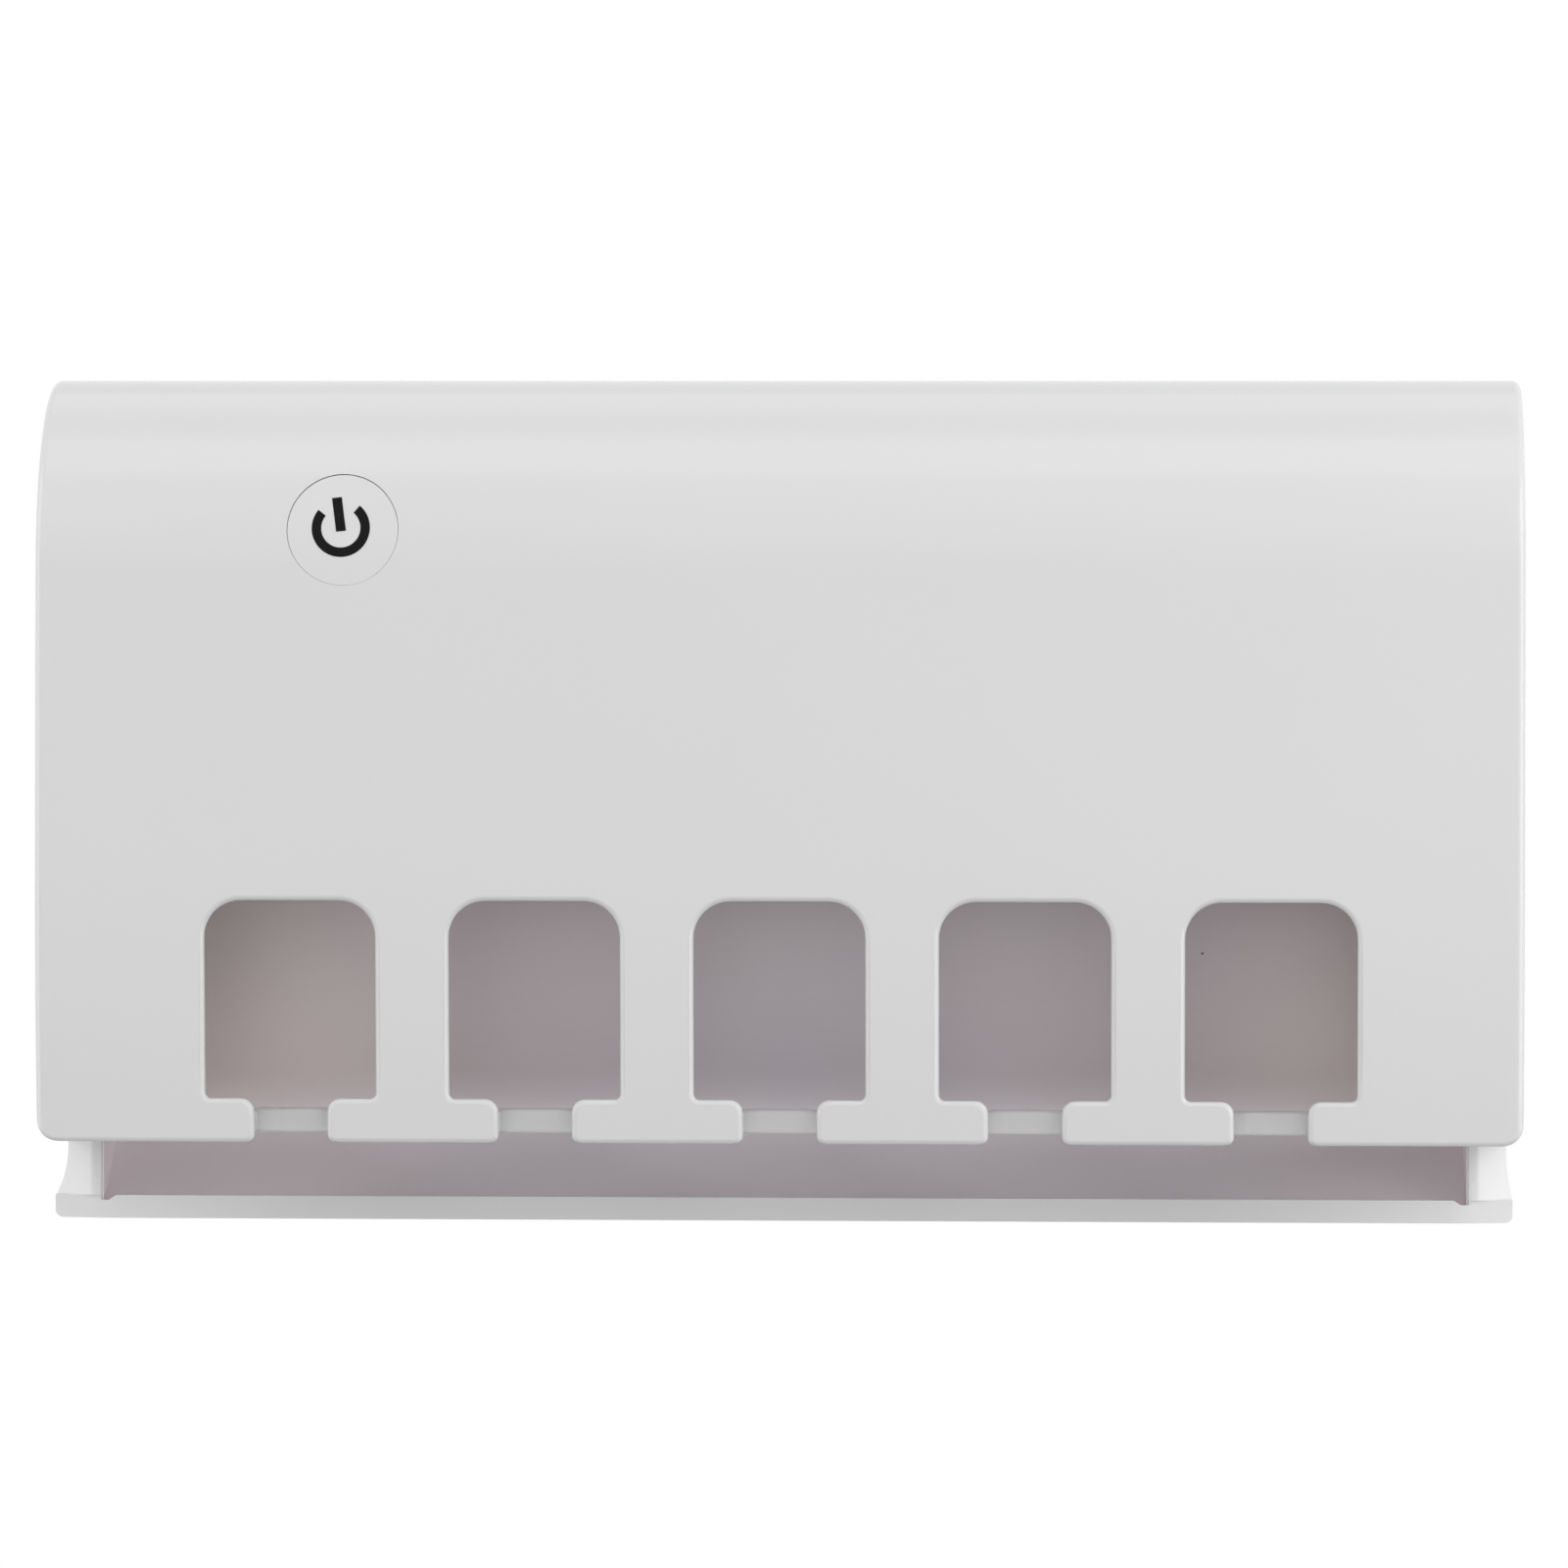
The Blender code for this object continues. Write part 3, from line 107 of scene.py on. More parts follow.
# Wall tray
TRAY_OUTER_X = HALF_WIDTH - WALL - CLEARANCE
TRAY_WALL = 6.3 * MM
TRAY_OUTER_LAYER = 4.7 * MM
TRAY_STEP = 0.12 * MM
TRAY_STEP_RISE = 3.1 * MM
TRAY_STRIP_LEAN = 16
TRAY_LEAN = 36
TRAY_BEND = 0.8 * MM
BASE_LEAN = 19
BASE_BEND = 5.0 * MM
BASE_ROUNDING = 10.0 * MM
TRAY_SHIFT = 0.2 * MM
BASE_SHIFT = -0.35 * MM
BACK_PLATE = 2.4 * MM
FLOOR_THICKNESS = 1.8 * MM
FLOOR_FILLET = 2.5 * MM
LIP_HEIGHT = 3.9 * MM
LIP_THICKNESS = 1.8 * MM
LIP_DIP = 0.8 * MM
LIP_DIP_WIDTH = 1.3 * MM
FLARE_HEIGHT = 7.8 * MM
BASE_CORNER = 1.3 * MM
TRAY_EDGE = 0.35 * MM
TRAY_LEAN_START = 0.2 * MM
KEYHOLE_X = 80 * MM
KEYHOLE_Z = TOP_Z - 19 * MM
KEYHOLE_HEAD_RADIUS = 4.8 * MM
KEYHOLE_SLOT_RADIUS = 2.5 * MM
KEYHOLE_SLOT_LENGTH = 9 * MM
LUG_X = 60 * MM
LUG_TOP_Z = TOP_Z - 21 * MM
LUG_HEIGHT = 12 * MM
LUG_HEAD_Y = -6.0 * MM
LUG_HEAD_HALF_WIDTH = 5.2 * MM
LUG_HEAD_HALF_DEPTH = 0.9 * MM
LUG_STEM_HALF_WIDTH = 2.8 * MM
PAD_POCKET_RADIUS = 4 * MM

# Reflector sheet
SHEET_THICKNESS = 0.8 * MM
SHEET_BEND = 10 * MM
SHEET_SLOPE = radians(31)
SHEET_SIDE_GAP = 0.02 * MM
FLANGE_THICKNESS = 0.3 * MM
FLANGE_FRONT_Y = TRAY_LOW.y + 1.0 * MM
FLANGE_TOP_Z = BOTTOM_Z + 7 * MM

# Insides that the cover's bosses reach
HOUSING_INNER_Y = -11.8 * MM
BOSS_RADIUS = 3.6 * MM
PILOT_RADIUS = 1.3 * MM
PILOT_DEPTH = 9 * MM

# Charging port, whose corner radius is a share of its width
PORT_ROUNDNESS = 0.499

# White mouldings
SHELL_ROUGHNESS = 0.11
# Painted shade on the tray's lip: full over the middle, gone towards the ends
LIP_PAINTED_SHADE = 0.17
PAINTED_SHADE_FULL = 72 * MM
PAINTED_SHADE_END = 114 * MM

# Power button
BUTTON_ACROSS = 0.15 * MM
BUTTON_RAISE = 0.25 * MM
BUTTON_X = (BUTTON_LOW.x + BUTTON_HIGH.x) / 2 + BUTTON_ACROSS
BUTTON_Z = (BUTTON_LOW.z + BUTTON_HIGH.z) / 2 + BUTTON_RAISE
BUTTON_STEPS = 96
HOLE_RADIUS = 9.40 * MM
CAP_RADIUS = 9.32 * MM
CAP_DROP = 0.065 * MM
CAP_SHIFT = 0.015 * MM
CAP_LIP = 0.06 * MM
CAP_SEAT_Y = BUTTON_LOW.y + 6.8 * MM
CAP_WALL = 1.4 * MM
CAP_WEB = 1.2 * MM
CAP_FLANGE = 1.0 * MM
STEM_RADIUS = 2.0 * MM
HOLE_END_Y = BUTTON_LOW.y + 7 * MM
SYMBOL_RADIUS = 4.9 * MM
SYMBOL_BORE = 3.3 * MM
SYMBOL_OPENING = radians(90.5)
SYMBOL_TILT = radians(6.0)
SYMBOL_RAISE = 0.27 * MM
SYMBOL_OFFSET = 0.28 * MM
BAR_WIDTH = 1.65 * MM
BAR_LENGTH = 5.75 * MM
BAR_TOP = 5.2 * MM
BAR_LEAN = radians(2.5)
INK = 0.03 * MM

# Camera, from the photograph's vanishing point and outline
PHOTO_SIZE = 1601
METRES_PER_PIXEL = 0.16381 * MM
CAMERA_DISTANCE = 1.50
CAMERA_X = 0.068
CAMERA_YAW = atan(CAMERA_X / CAMERA_DISTANCE)
CAMERA_ROLL = radians(0.12)
PHOTO_CENTRE = 800.5
OBJECT_CENTRE_X = 793.4
TOP_ROW = 380.4

# Room
FLOOR_Z = -0.50
FLOOR_RADIUS = 1.3
FLOOR_SHADE = 0.46
FLOOR_CENTRE_RADIUS = 0.02
LAMP_TARGET = (0.0, -0.03, 0.0)
LAMP_DISTANCE = 1.30
OVERHEAD_SIZE = (0.8, 0.60)
OVERHEAD_FRONT = 68
OVERHEAD_REAR = 115
FRONT_POWER = 1.2
REAR_POWER = 0.7
KEY_SIZE = (0.7, 0.6)
KEY_AZIMUTH = 30
KEY_ELEVATION = 30
LEFT_KEY_POWER = 0.25
RIGHT_KEY_POWER = 0.80
SIDE_SIZE = (0.5, 0.9)
LEFT_PLACE = (-0.88, -0.24, 0.16)
RIGHT_PLACE = (0.84, -0.38, 0.16)
LEFT_POWER = 2.9
RIGHT_POWER = 3.9
FILL_LOW = 0.51
FILL_HIGH = 0.56
FILL_FRONT = 0.62
FILL_BACK = 0.40


# Shader wrapper


class Sock:
    """A shader socket that does maths when Python operators are used on it."""

    def __init__(self, tree, socket):
        self.tree = tree
        self.socket = socket

    def maths(self, operation, *values):
        """One Math node on sockets or numbers."""
        return Shader(self.tree).node("ShaderNodeMath", {"operation": operation}, values)

    def __add__(self, other):
        return self.maths("ADD", self, other)

    def __radd__(self, other):
        return self.maths("ADD", other, self)

    def __sub__(self, other):
        return self.maths("SUBTRACT", self, other)

    def __rsub__(self, other):
        return self.maths("SUBTRACT", other, self)

    def __mul__(self, other):
        return self.maths("MULTIPLY", self, other)

    def __rmul__(self, other):
        return self.maths("MULTIPLY", other, self)

    def __truediv__(self, other):
        return self.maths("DIVIDE", self, other)

    def __pow__(self, other):
        return self.maths("POWER", self, other)

    def __lt__(self, other):
        return self.maths("LESS_THAN", self, other)

    def __gt__(self, other):
        return self.maths("GREATER_THAN", self, other)

    def clamped(self, low=0.0, high=1.0):
        """The value, held between two limits."""
        return self.maths("MINIMUM", self.maths("MAXIMUM", self, low), high)

    def rising(self, low, high):
        """0 below low, 1 above high, and smooth between."""
        settings = {"interpolation_type": "SMOOTHSTEP"}
        return Shader(self.tree).node("ShaderNodeMapRange", settings,
                                      {"Value": self, "From Min": low, "From Max": high})


class Shader:
    """One material's node tree, with a single way to add a node."""

    def __init__(self, tree):
        self.tree = tree

    def node(self, kind, settings=None, values=(), output=0):
        """A node of a type, with its settings, then its sockets' values or links."""
        made = self.tree.nodes.new(kind)
        for key, value in (settings or {}).items():
            setattr(made, key, value)
        pairs = values.items() if isinstance(values, dict) else enumerate(values)
        for key, value in pairs:
            if isinstance(value, Sock):
                self.tree.links.new(value.socket, made.inputs[key])
            else:
                made.inputs[key].default_value = value
        return Sock(self.tree, made.outputs[output])

    def place(self):
        """The point on the object, in metres."""
        return self.node("ShaderNodeTexCoord", output="Object")

    def parts(self, vector):
        """A vector's three parts."""
        made = self.tree.nodes.new("ShaderNodeSeparateXYZ")
        self.tree.links.new(vector.socket, made.inputs[0])
        return [Sock(self.tree, out) for out in made.outputs]

    def stretched(self, vector, scale):
        """A vector, scaled along each axis."""
        return self.node("ShaderNodeVectorMath", {"operation": "MULTIPLY"}, (vector, scale))

    def noise(self, vector, scale, detail=3.0, roughness=0.5):
        """Smooth noise between 0 and 1."""
        return self.node("ShaderNodeTexNoise", None,
                         {"Vector": vector, "Scale": scale, "Detail": detail, "Roughness": roughness}, "Fac")

    def cells(self, vector, scale, output="Distance"):
        """Irregular cells: the distance to each one's middle, or its own random colour."""
        return self.node("ShaderNodeTexVoronoi", None, {"Vector": vector, "Scale": scale}, output)

    def mix(self, factor, a, b):
        """Colour a where the factor is 0 and colour b where it is 1."""
        made = self.tree.nodes.new("ShaderNodeMix")
        made.data_type = "RGBA"
        for key, value in ((0, factor), (6, a), (7, b)):
            if isinstance(value, Sock):
                self.tree.links.new(value.socket, made.inputs[key])
            else:
                made.inputs[key].default_value = value
        return Sock(self.tree, made.outputs[2])

    def bump(self, height, distance, strength=1.0):
        """A normal, tilted by a height that spans a distance."""
        values = {"Height": height, "Distance": distance, "Strength": strength}
        return self.node("ShaderNodeBump", None, values)


def colour(red, green=None, blue=None):
    """A colour from three parts, or a grey from one."""
    if green is None:
        green = blue = red
    return (red, green, blue, 1.0)


def new_material(name, constants):
    """A material whose Principled shader holds its constants, and the tools to drive the rest."""
    made = bpy.data.materials.new(name)
    made.use_nodes = True
    tree = made.node_tree
    principled = tree.nodes["Principled BSDF"]
    for key, value in constants.items():
        principled.inputs[key].default_value = value

    def drive(**links):
        for key, value in links.items():
            tree.links.new(value.socket, principled.inputs[key.replace("_", " ")])
        return made

    return Shader(tree), drive


# Finishes


def dust(shader, place, scale, radius):
    """Sparse specks: the middles of a few cells."""
    near = shader.cells(place, scale) < radius
    chosen = shader.parts(shader.cells(place, scale, "Color"))[0] > 0.55
    return near * chosen


def moulded_white(name, shade, roughness, grain=0.6, painted_lip_shade=0.0):
    """Injection-moulded white plastic: fine spark grain, faint flow shading and a few dust specks.

    The last argument darkens the tray's lip by that share over the middle of the width: painted shade for the
    cover's overhang.
    """
    shader, drive = new_material(name, {"IOR": 1.46})
    place = shader.place()
    flow = shader.noise(shader.stretched(place, (1.0, 1.0, 1.6)), 26.0, 2.0)
    fine = shader.noise(place, 5200.0, 2.0, 0.6)
    peel = shader.noise(place, 420.0, 2.0)
    speck = dust(shader, place, 30.0, 0.008)
    low = [c * 0.985 for c in shade]
    tone = shader.mix(flow, colour(*low), colour(*shade))
    if painted_lip_shade:
        across, depth, _ = shader.parts(place)
        side = shader.node("ShaderNodeMath", {"operation": "ABSOLUTE"}, (across,))
        lip = 1 - depth.rising(TRAY_LOW.y + LIP_THICKNESS, TRAY_LOW.y + 3 * LIP_THICKNESS)
        # painted shade: the lip darker over the middle, where the cover's overhang shades it
        tone = shader.mix(lip * (1 - side.rising(PAINTED_SHADE_FULL, PAINTED_SHADE_END)) * painted_lip_shade, tone, colour(0.0))
    tone = shader.mix(speck * 0.75, tone, colour(0.10, 0.08, 0.07))
    rough = roughness + 0.05 * (fine - 0.5) + 0.04 * (flow - 0.5)
    height = fine * grain + peel * 0.8
    return drive(Base_Color=tone, Roughness=rough, Normal=shader.bump(height, 0.0015 * MM, 0.9))


def satin_reflector(name):
    """Mauve-grey satin sheet: fine level brushing, a random cloud drift, a few dark specks, and painted
    light: a painted reflection that makes the sides warmer and lighter than the cool middle, and a painted
    lift of the upper part, both ends and the foot out of the cavity's shade.
    """
    shader, drive = new_material(name, {"Metallic": 0.1, "IOR": 1.5})
    place = shader.place()
    across, _, height = shader.parts(place)
    side = shader.node("ShaderNodeMath", {"operation": "ABSOLUTE"}, (across,))
    brushed = shader.noise(shader.stretched(place, (0.03, 1.0, 1.0)), 3000.0, 3.0, 0.65)
    cloud = shader.noise(place, 14.0, 2.0)
    # painted reflection: the sides lighter and warmer than the darker, cooler middle, with a random cloud
    # drift on top
    side_reflection_and_drift = (side / (90 * MM) + (cloud - 0.5) * 0.5).clamped()
    tone = shader.mix(side_reflection_and_drift, colour(0.550, 0.508, 0.560), colour(0.650, 0.560, 0.558))
    tone = shader.mix((brushed - 0.5) * 0.25 + 0.12, tone, colour(0.76, 0.71, 0.73))
    # painted light: lighter higher up the sheet, lifting the shade that the cover casts in its cavity
    painted_upper_light = height.rising(BOTTOM_Z + 10 * MM, BOTTOM_Z + 40 * MM) * 0.75
    tone = shader.mix(painted_upper_light, tone, colour(0.78, 0.71, 0.735))
    # painted light: lighter towards both ends, lifting the shade from the cavity's side walls
    ends = (1 - across.rising(-100 * MM, -50 * MM)) + across.rising(70 * MM, 110 * MM)
    tone = shader.mix(ends * 0.85, tone, colour(0.88, 0.775, 0.760))
    # painted light: much lighter at the foot, seen through the low gap where the cover's shade falls
    foot = 1 - height.rising(BASE_Z + 10 * MM, BASE_Z + 26 * MM)
    tone = shader.mix(foot * 0.9, tone, shader.mix(ends, colour(0.88, 0.83, 0.87), colour(0.96, 0.89, 0.93)))
    speck = dust(shader, place, 70.0, 0.020)
    tone = shader.mix(speck * 0.8, tone, colour(0.10, 0.04, 0.05))
    rough = 0.34 + 0.10 * (brushed - 0.5)
    return drive(Base_Color=tone, Roughness=rough, Normal=shader.bump(brushed, 0.004 * MM, 0.6))


def printed_ink(name):
    """Matte pad-printed black ink with a slightly uneven film."""
    shader, drive = new_material(name, {"IOR": 1.2})
    place = shader.place()
    film = shader.noise(place, 1800.0, 3.0)
    tone = shader.mix(film, colour(0.003), colour(0.009))
    return drive(Base_Color=tone, Roughness=0.34 + 0.12 * (film - 0.5),
                 Normal=shader.bump(film, 0.002 * MM, 0.5))


def foam(name):
    """Closed-cell foam tape under its paper-smooth face."""
    shader, drive = new_material(name, {"Roughness": 0.9})
    place = shader.place()
    cells = shader.cells(place, 1600.0)
    cloud = shader.noise(place, 60.0)
    tone = shader.mix(cells * 0.6 + cloud * 0.3, colour(0.46, 0.48, 0.49), colour(0.62, 0.64, 0.65))
    return drive(Base_Color=tone, Normal=shader.bump(cells, 0.05 * MM, 0.7))


def metal(name, shade, roughness, brushing=(1.0, 1.0, 0.04)):
    """Plated or drawn metal with fine drawing lines and faint handling marks."""
    shader, drive = new_material(name, {"Metallic": 1.0})
    place = shader.place()
    lines = shader.noise(shader.stretched(place, brushing), 6000.0, 2.0, 0.6)
    marks = shader.noise(place, 300.0, 3.0)
    tone = shader.mix(marks, colour(*[c * 0.88 for c in shade]), colour(*shade))
    rough = roughness + 0.16 * (lines - 0.5) + 0.10 * (marks - 0.5)
    return drive(Base_Color=tone, Roughness=rough, Normal=shader.bump(lines, 0.003 * MM, 0.5))


def dark_plastic(name, shade=(0.025, 0.025, 0.026), roughness=0.45):
    """Black moulded plastic with a fine grain."""
    shader, drive = new_material(name, {"IOR": 1.5})
    place = shader.place()
    fine = shader.noise(place, 4200.0, 2.0)
    cloud = shader.noise(place, 90.0)
    tone = shader.mix(cloud, colour(*shade), colour(*[c * 1.5 for c in shade]))
    return drive(Base_Color=tone, Roughness=roughness + 0.12 * (fine - 0.5),
                 Normal=shader.bump(fine, 0.004 * MM, 0.7))


def circuit_board(name):
    """Green solder mask over faint copper tracks, with glass weave in its edges."""
    shader, drive = new_material(name, {"IOR": 1.5, "Coat Weight": 0.4, "Coat Roughness": 0.15})
    place = shader.place()
    x, _, z = shader.parts(place)
    values = {"Vector": shader.node("ShaderNodeCombineXYZ", None, (x, z, 0.0)), "Scale": 330.0,
              "Mortar Size": 0.08, "Color1": colour(0.0), "Color2": colour(0.0), "Mortar": colour(1.0)}
    track = shader.node("ShaderNodeTexBrick", {"offset": 0.37, "squash": 0.7}, values, "Fac")
    grain = shader.noise(place, 900.0)
    tone = shader.mix(track * 0.55, colour(0.012, 0.115, 0.045), colour(0.045, 0.235, 0.095))
    tone = shader.mix(grain * 0.2, tone, colour(0.02, 0.09, 0.05))
    return drive(Base_Color=tone, Roughness=0.34 + 0.1 * (grain - 0.5),
                 Normal=shader.bump(track, 0.03 * MM, 0.6))


def film_wrap(name, shade):
    """Heat-shrunk film over a cell, with faint hoop wrinkles."""
    shader, drive = new_material(name, {"IOR": 1.5})
    place = shader.place()
    hoops = shader.noise(shader.stretched(place, (1.0, 0.08, 0.08)), 900.0, 2.0)
    tone = shader.mix(hoops, colour(*[c * 0.85 for c in shade]), colour(*shade))
    return drive(Base_Color=tone, Roughness=0.28 + 0.1 * (hoops - 0.5),
                 Normal=shader.bump(hoops, 0.02 * MM, 0.5))


def clear_glass(name):
    """Polished clear glass with the faintest smear."""
    shader, drive = new_material(name, {"Transmission Weight": 0.92, "IOR": 1.46})
    place = shader.place()
    smear = shader.noise(place, 240.0, 3.0)
    return drive(Base_Color=shader.mix(smear, colour(0.90, 0.93, 0.97), colour(0.96, 0.97, 0.99)),
                 Roughness=0.03 + 0.05 * smear)


def lamp_package(name):
    """Pale ceramic round a yellow-grey emitter well."""
    shader, drive = new_material(name, {"IOR": 1.55})
    place = shader.place()
    grain = shader.noise(place, 3000.0)
    tone = shader.mix(grain, colour(0.78, 0.76, 0.66), colour(0.88, 0.86, 0.78))
    return drive(Base_Color=tone, Roughness=0.35 + 0.2 * (grain - 0.5),
                 Normal=shader.bump(grain, 0.004 * MM, 0.5))


# Mesh tools


def new_piece(name, verts, faces):
    """A mesh object in the scene, with its faces turned outwards."""
    mesh = bpy.data.meshes.new(name)
    work = bmesh.new()
    made = [work.verts.new(v) for v in verts]
    for face in faces:
        work.faces.new([made[i] for i in face])
    bmesh.ops.recalc_face_normals(work, faces=work.faces)
    work.to_mesh(mesh)
    work.free()
    piece = bpy.data.objects.new(name, mesh)
    bpy.context.scene.collection.objects.link(piece)
    return piece


def skin(name, rings):
    """A closed skin through rings of equal count, with flat ends."""
    count = len(rings[0])
    faces = [list(range(count)), [(len(rings) - 1) * count + i for i in range(count)]]
    for r in range(len(rings) - 1):
        for i in range(count):
            j = (i + 1) % count
            a, b = r * count, (r + 1) * count
            faces.append([a + i, a + j, b + j, b + i])
    return new_piece(name, [p for ring in rings for p in ring], faces)


def along_axis(axis, u, v, w):
    """The point that lies w along an axis, with u and v across it."""
    if axis == "X":
        return (w, u, v)
    if axis == "Y":
        return (u, w, v)
    return (u, v, w)


def prism(name, outline, axis, start, end):
    """An outline drawn straight along an axis."""
    return skin(name, [[along_axis(axis, u, v, w) for u, v in outline] for w in (start, end)])


def block(name, low, high):
    """A plain box between two corners."""
    outline = [(low[0], low[1]), (high[0], low[1]), (high[0], high[1]), (low[0], high[1])]
    return prism(name, outline, "Z", low[2], high[2])


def circle(cu, cv, radius, steps=32):
    """The points of a circle."""
    turns = [2 * pi * i / steps for i in range(steps)]
    return [(cu + radius * cos(turn), cv + radius * sin(turn)) for turn in turns]


def rounded(corners, steps=10):
    """An outline through (u, v, radius) corners, each one turned by an arc."""
    outline = []
    count = len(corners)
    for i, (u, v, radius) in enumerate(corners):
        here = Vector((u, v))
        before = (Vector(corners[i - 1][:2]) - here).normalized()
        after = (Vector(corners[(i + 1) % count][:2]) - here).normalized()
        if radius <= 0:
            outline.append((u, v))
            continue
        half = before.angle(after) / 2
        centre = here + (before + after).normalized() * (radius / sin(half))
        reach = sqrt(max((centre - here).length_squared - radius ** 2, 0.0))
        start = here + before * reach - centre
        turn = start.angle_signed(here + after * reach - centre)
        for k in range(steps + 1):
            point = centre + Matrix.Rotation(-turn * k / steps, 2) @ start
            outline.append((point.x, point.y))
    return outline


def box_corners(u0, u1, v0, v1, radius=0.0):
    """A rectangle's corners, ready for rounding."""
    return [(u0, v0, radius), (u1, v0, radius), (u1, v1, radius), (u0, v1, radius)]


def settle(piece):
    """Turns a piece's modifiers into its mesh."""
    graph = bpy.context.evaluated_depsgraph_get()
    made = bpy.data.meshes.new_from_object(piece.evaluated_get(graph))
    piece.modifiers.clear()
    piece.data = made
    return piece


def combine(target, tool, operation):
    """Cuts or joins one piece with another, which is used up."""
    modifier = target.modifiers.new(operation.lower(), "BOOLEAN")
    modifier.operation = operation
    modifier.solver = "EXACT"
    modifier.object = tool
    settle(target)
    bpy.data.objects.remove(tool)
    return target


def cut(target, *tools):
    """Takes each tool out of a piece."""
    for tool in tools:
        combine(target, tool, "DIFFERENCE")
    return target


def join(target, *tools):
    """Adds each tool to a piece."""
    for tool in tools:
        combine(target, tool, "UNION")
    return target


def soften(piece, width, angle=40, segments=3):
    """Rounds every hard edge by a small width."""
    modifier = piece.modifiers.new("edge", "BEVEL")
    modifier.width = width
    modifier.segments = segments
    modifier.limit_method = "ANGLE"
    modifier.angle_limit = radians(angle)
    modifier.harden_normals = False
    return settle(piece)


def finish_surface(piece, finish, angle=32):
    """Smooth shading that keeps broad faces flat, with one finish."""
    piece.data.materials.clear()
    piece.data.materials.append(finish)
    for polygon in piece.data.polygons:
        polygon.material_index = 0
    piece.data.shade_smooth()
    piece.data.set_sharp_from_angle(angle=radians(angle))
    modifier = piece.modifiers.new("normals", "WEIGHTED_NORMAL")
    modifier.keep_sharp = True
    modifier.weight = 60
    return piece


# The cover's form


def front_y(z):
    """The cover's outer front at a height."""
    share = min(max((z - (TOP_Z - ARCH_RISE)) / ARCH_RISE, 0.0), 1.0)
    bow = max((BOTTOM_Z + BOW_HEIGHT - z) / BOW_HEIGHT, 0.0)
    return -DEPTH + ARCH_DEPTH * (1 - sqrt(1 - share ** 2)) + BOW_SETBACK * bow ** 2


def shell_y(z):
    """The cover's outer front with the rounding of its lower edge."""
    rise = min(max((z - BOTTOM_Z) / BOTTOM_FILLET, 0.0), 1.0)
    return front_y(z) + BOTTOM_FILLET * (1 - sqrt(rise * (2 - rise)))


def arch(inset, steps):
    """The arched top from its back to the front-most line, drawn in by an inset."""
    points = []
    for i in range(steps + 1):
        angle = pi / 2 * (1 - i / steps)
        points.append((-DEPTH + ARCH_DEPTH - (ARCH_DEPTH - inset) * cos(angle),
                       TOP_Z - ARCH_RISE + (ARCH_RISE - inset) * sin(angle)))
    return points


def cover_section(inset, lower_inset):
    """The cover's outer side profile, drawn in by the edge fillets."""
    section = [(COVER_BACK_Y, TOP_Z - inset)] + arch(inset, 56)
    bow_top = BOTTOM_Z + BOW_HEIGHT
    foot_z = BOTTOM_Z + lower_inset + BOTTOM_FILLET
    steps = 24
    for i in range(steps + 1):
        z = bow_top + (foot_z - bow_top) * i / steps
        section.append((front_y(z) + inset, z))
    toe_y = section[-1][0]
    steps = 10
    for i in range(1, steps + 1):
        angle = pi / 2 * i / steps
        section.append((toe_y + BOTTOM_FILLET * (1 - cos(angle)), foot_z - BOTTOM_FILLET * sin(angle)))
    section.append((COVER_BACK_Y, foot_z - BOTTOM_FILLET))
    return section


def corner_inset(distance, radius):
    """How far a round corner draws the section in, at a distance from the side."""
    if distance >= radius:
        return 0.0
    return radius - sqrt(radius ** 2 - (radius - distance) ** 2)


def shelf_heights():
    """The heights of the shelf's top and underside."""
    top = BOTTOM_Z + WINDOW_SILL - SHELF_DROP
    return top, top - SHELF_THICKNESS


def cavity_section():
    """The space inside the cover, which leaves the front, the top and the shelf."""
    shelf_top, shelf_bottom = shelf_heights()
    bow_top = BOTTOM_Z + BOW_HEIGHT
    section = [(COVER_BACK_Y + OVERCUT, TOP_Z - WALL)] + arch(WALL, 40)
    steps = 16
    for i in range(steps + 1):
        z = bow_top + (shelf_top - bow_top) * i / steps
        section.append((front_y(z) + WALL, z))
    section += [(SHELF_BACK_Y - SHELF_EDGE, shelf_top), (SHELF_BACK_Y, shelf_top - SHELF_EDGE),
                (SHELF_BACK_Y, shelf_bottom + SHELF_EDGE), (SHELF_BACK_Y - SHELF_EDGE, shelf_bottom),
                (front_y(shelf_bottom) + WALL, shelf_bottom), (front_y(BOTTOM_Z) + WALL, BOTTOM_Z - OVERCUT),
                (COVER_BACK_Y + OVERCUT, BOTTOM_Z - OVERCUT)]
    return section


def slot_outline(centre, spread):
    """A brush window with its open neck, widened by a fillet's spread."""
    half = WINDOW_WIDTH / 2 + spread
    neck = NECK_WIDTH / 2 + spread
    sill = BOTTOM_Z + WINDOW_SILL - spread
    head = BOTTOM_Z + WINDOW_SILL + WINDOW_HEIGHT + spread
    foot = BOTTOM_Z - SLIVER
    below = BOTTOM_Z - OVERCUT
    toe = neck + TAB_FOOT_RADIUS * 2
    tab = TAB_RADIUS - spread * 0.6
    right = [(toe, below, 0.0), (toe, foot, 0.0), (neck, foot, TAB_FOOT_RADIUS), (neck, sill, tab),
             (half, sill, WINDOW_FOOT_RADIUS + spread), (half, head, WINDOW_TOP_RADIUS + spread)]
    left = [(-x, z, radius) for x, z, radius in right[::-1]]
    return rounded([(centre + x, z, radius) for x, z, radius in right + left])


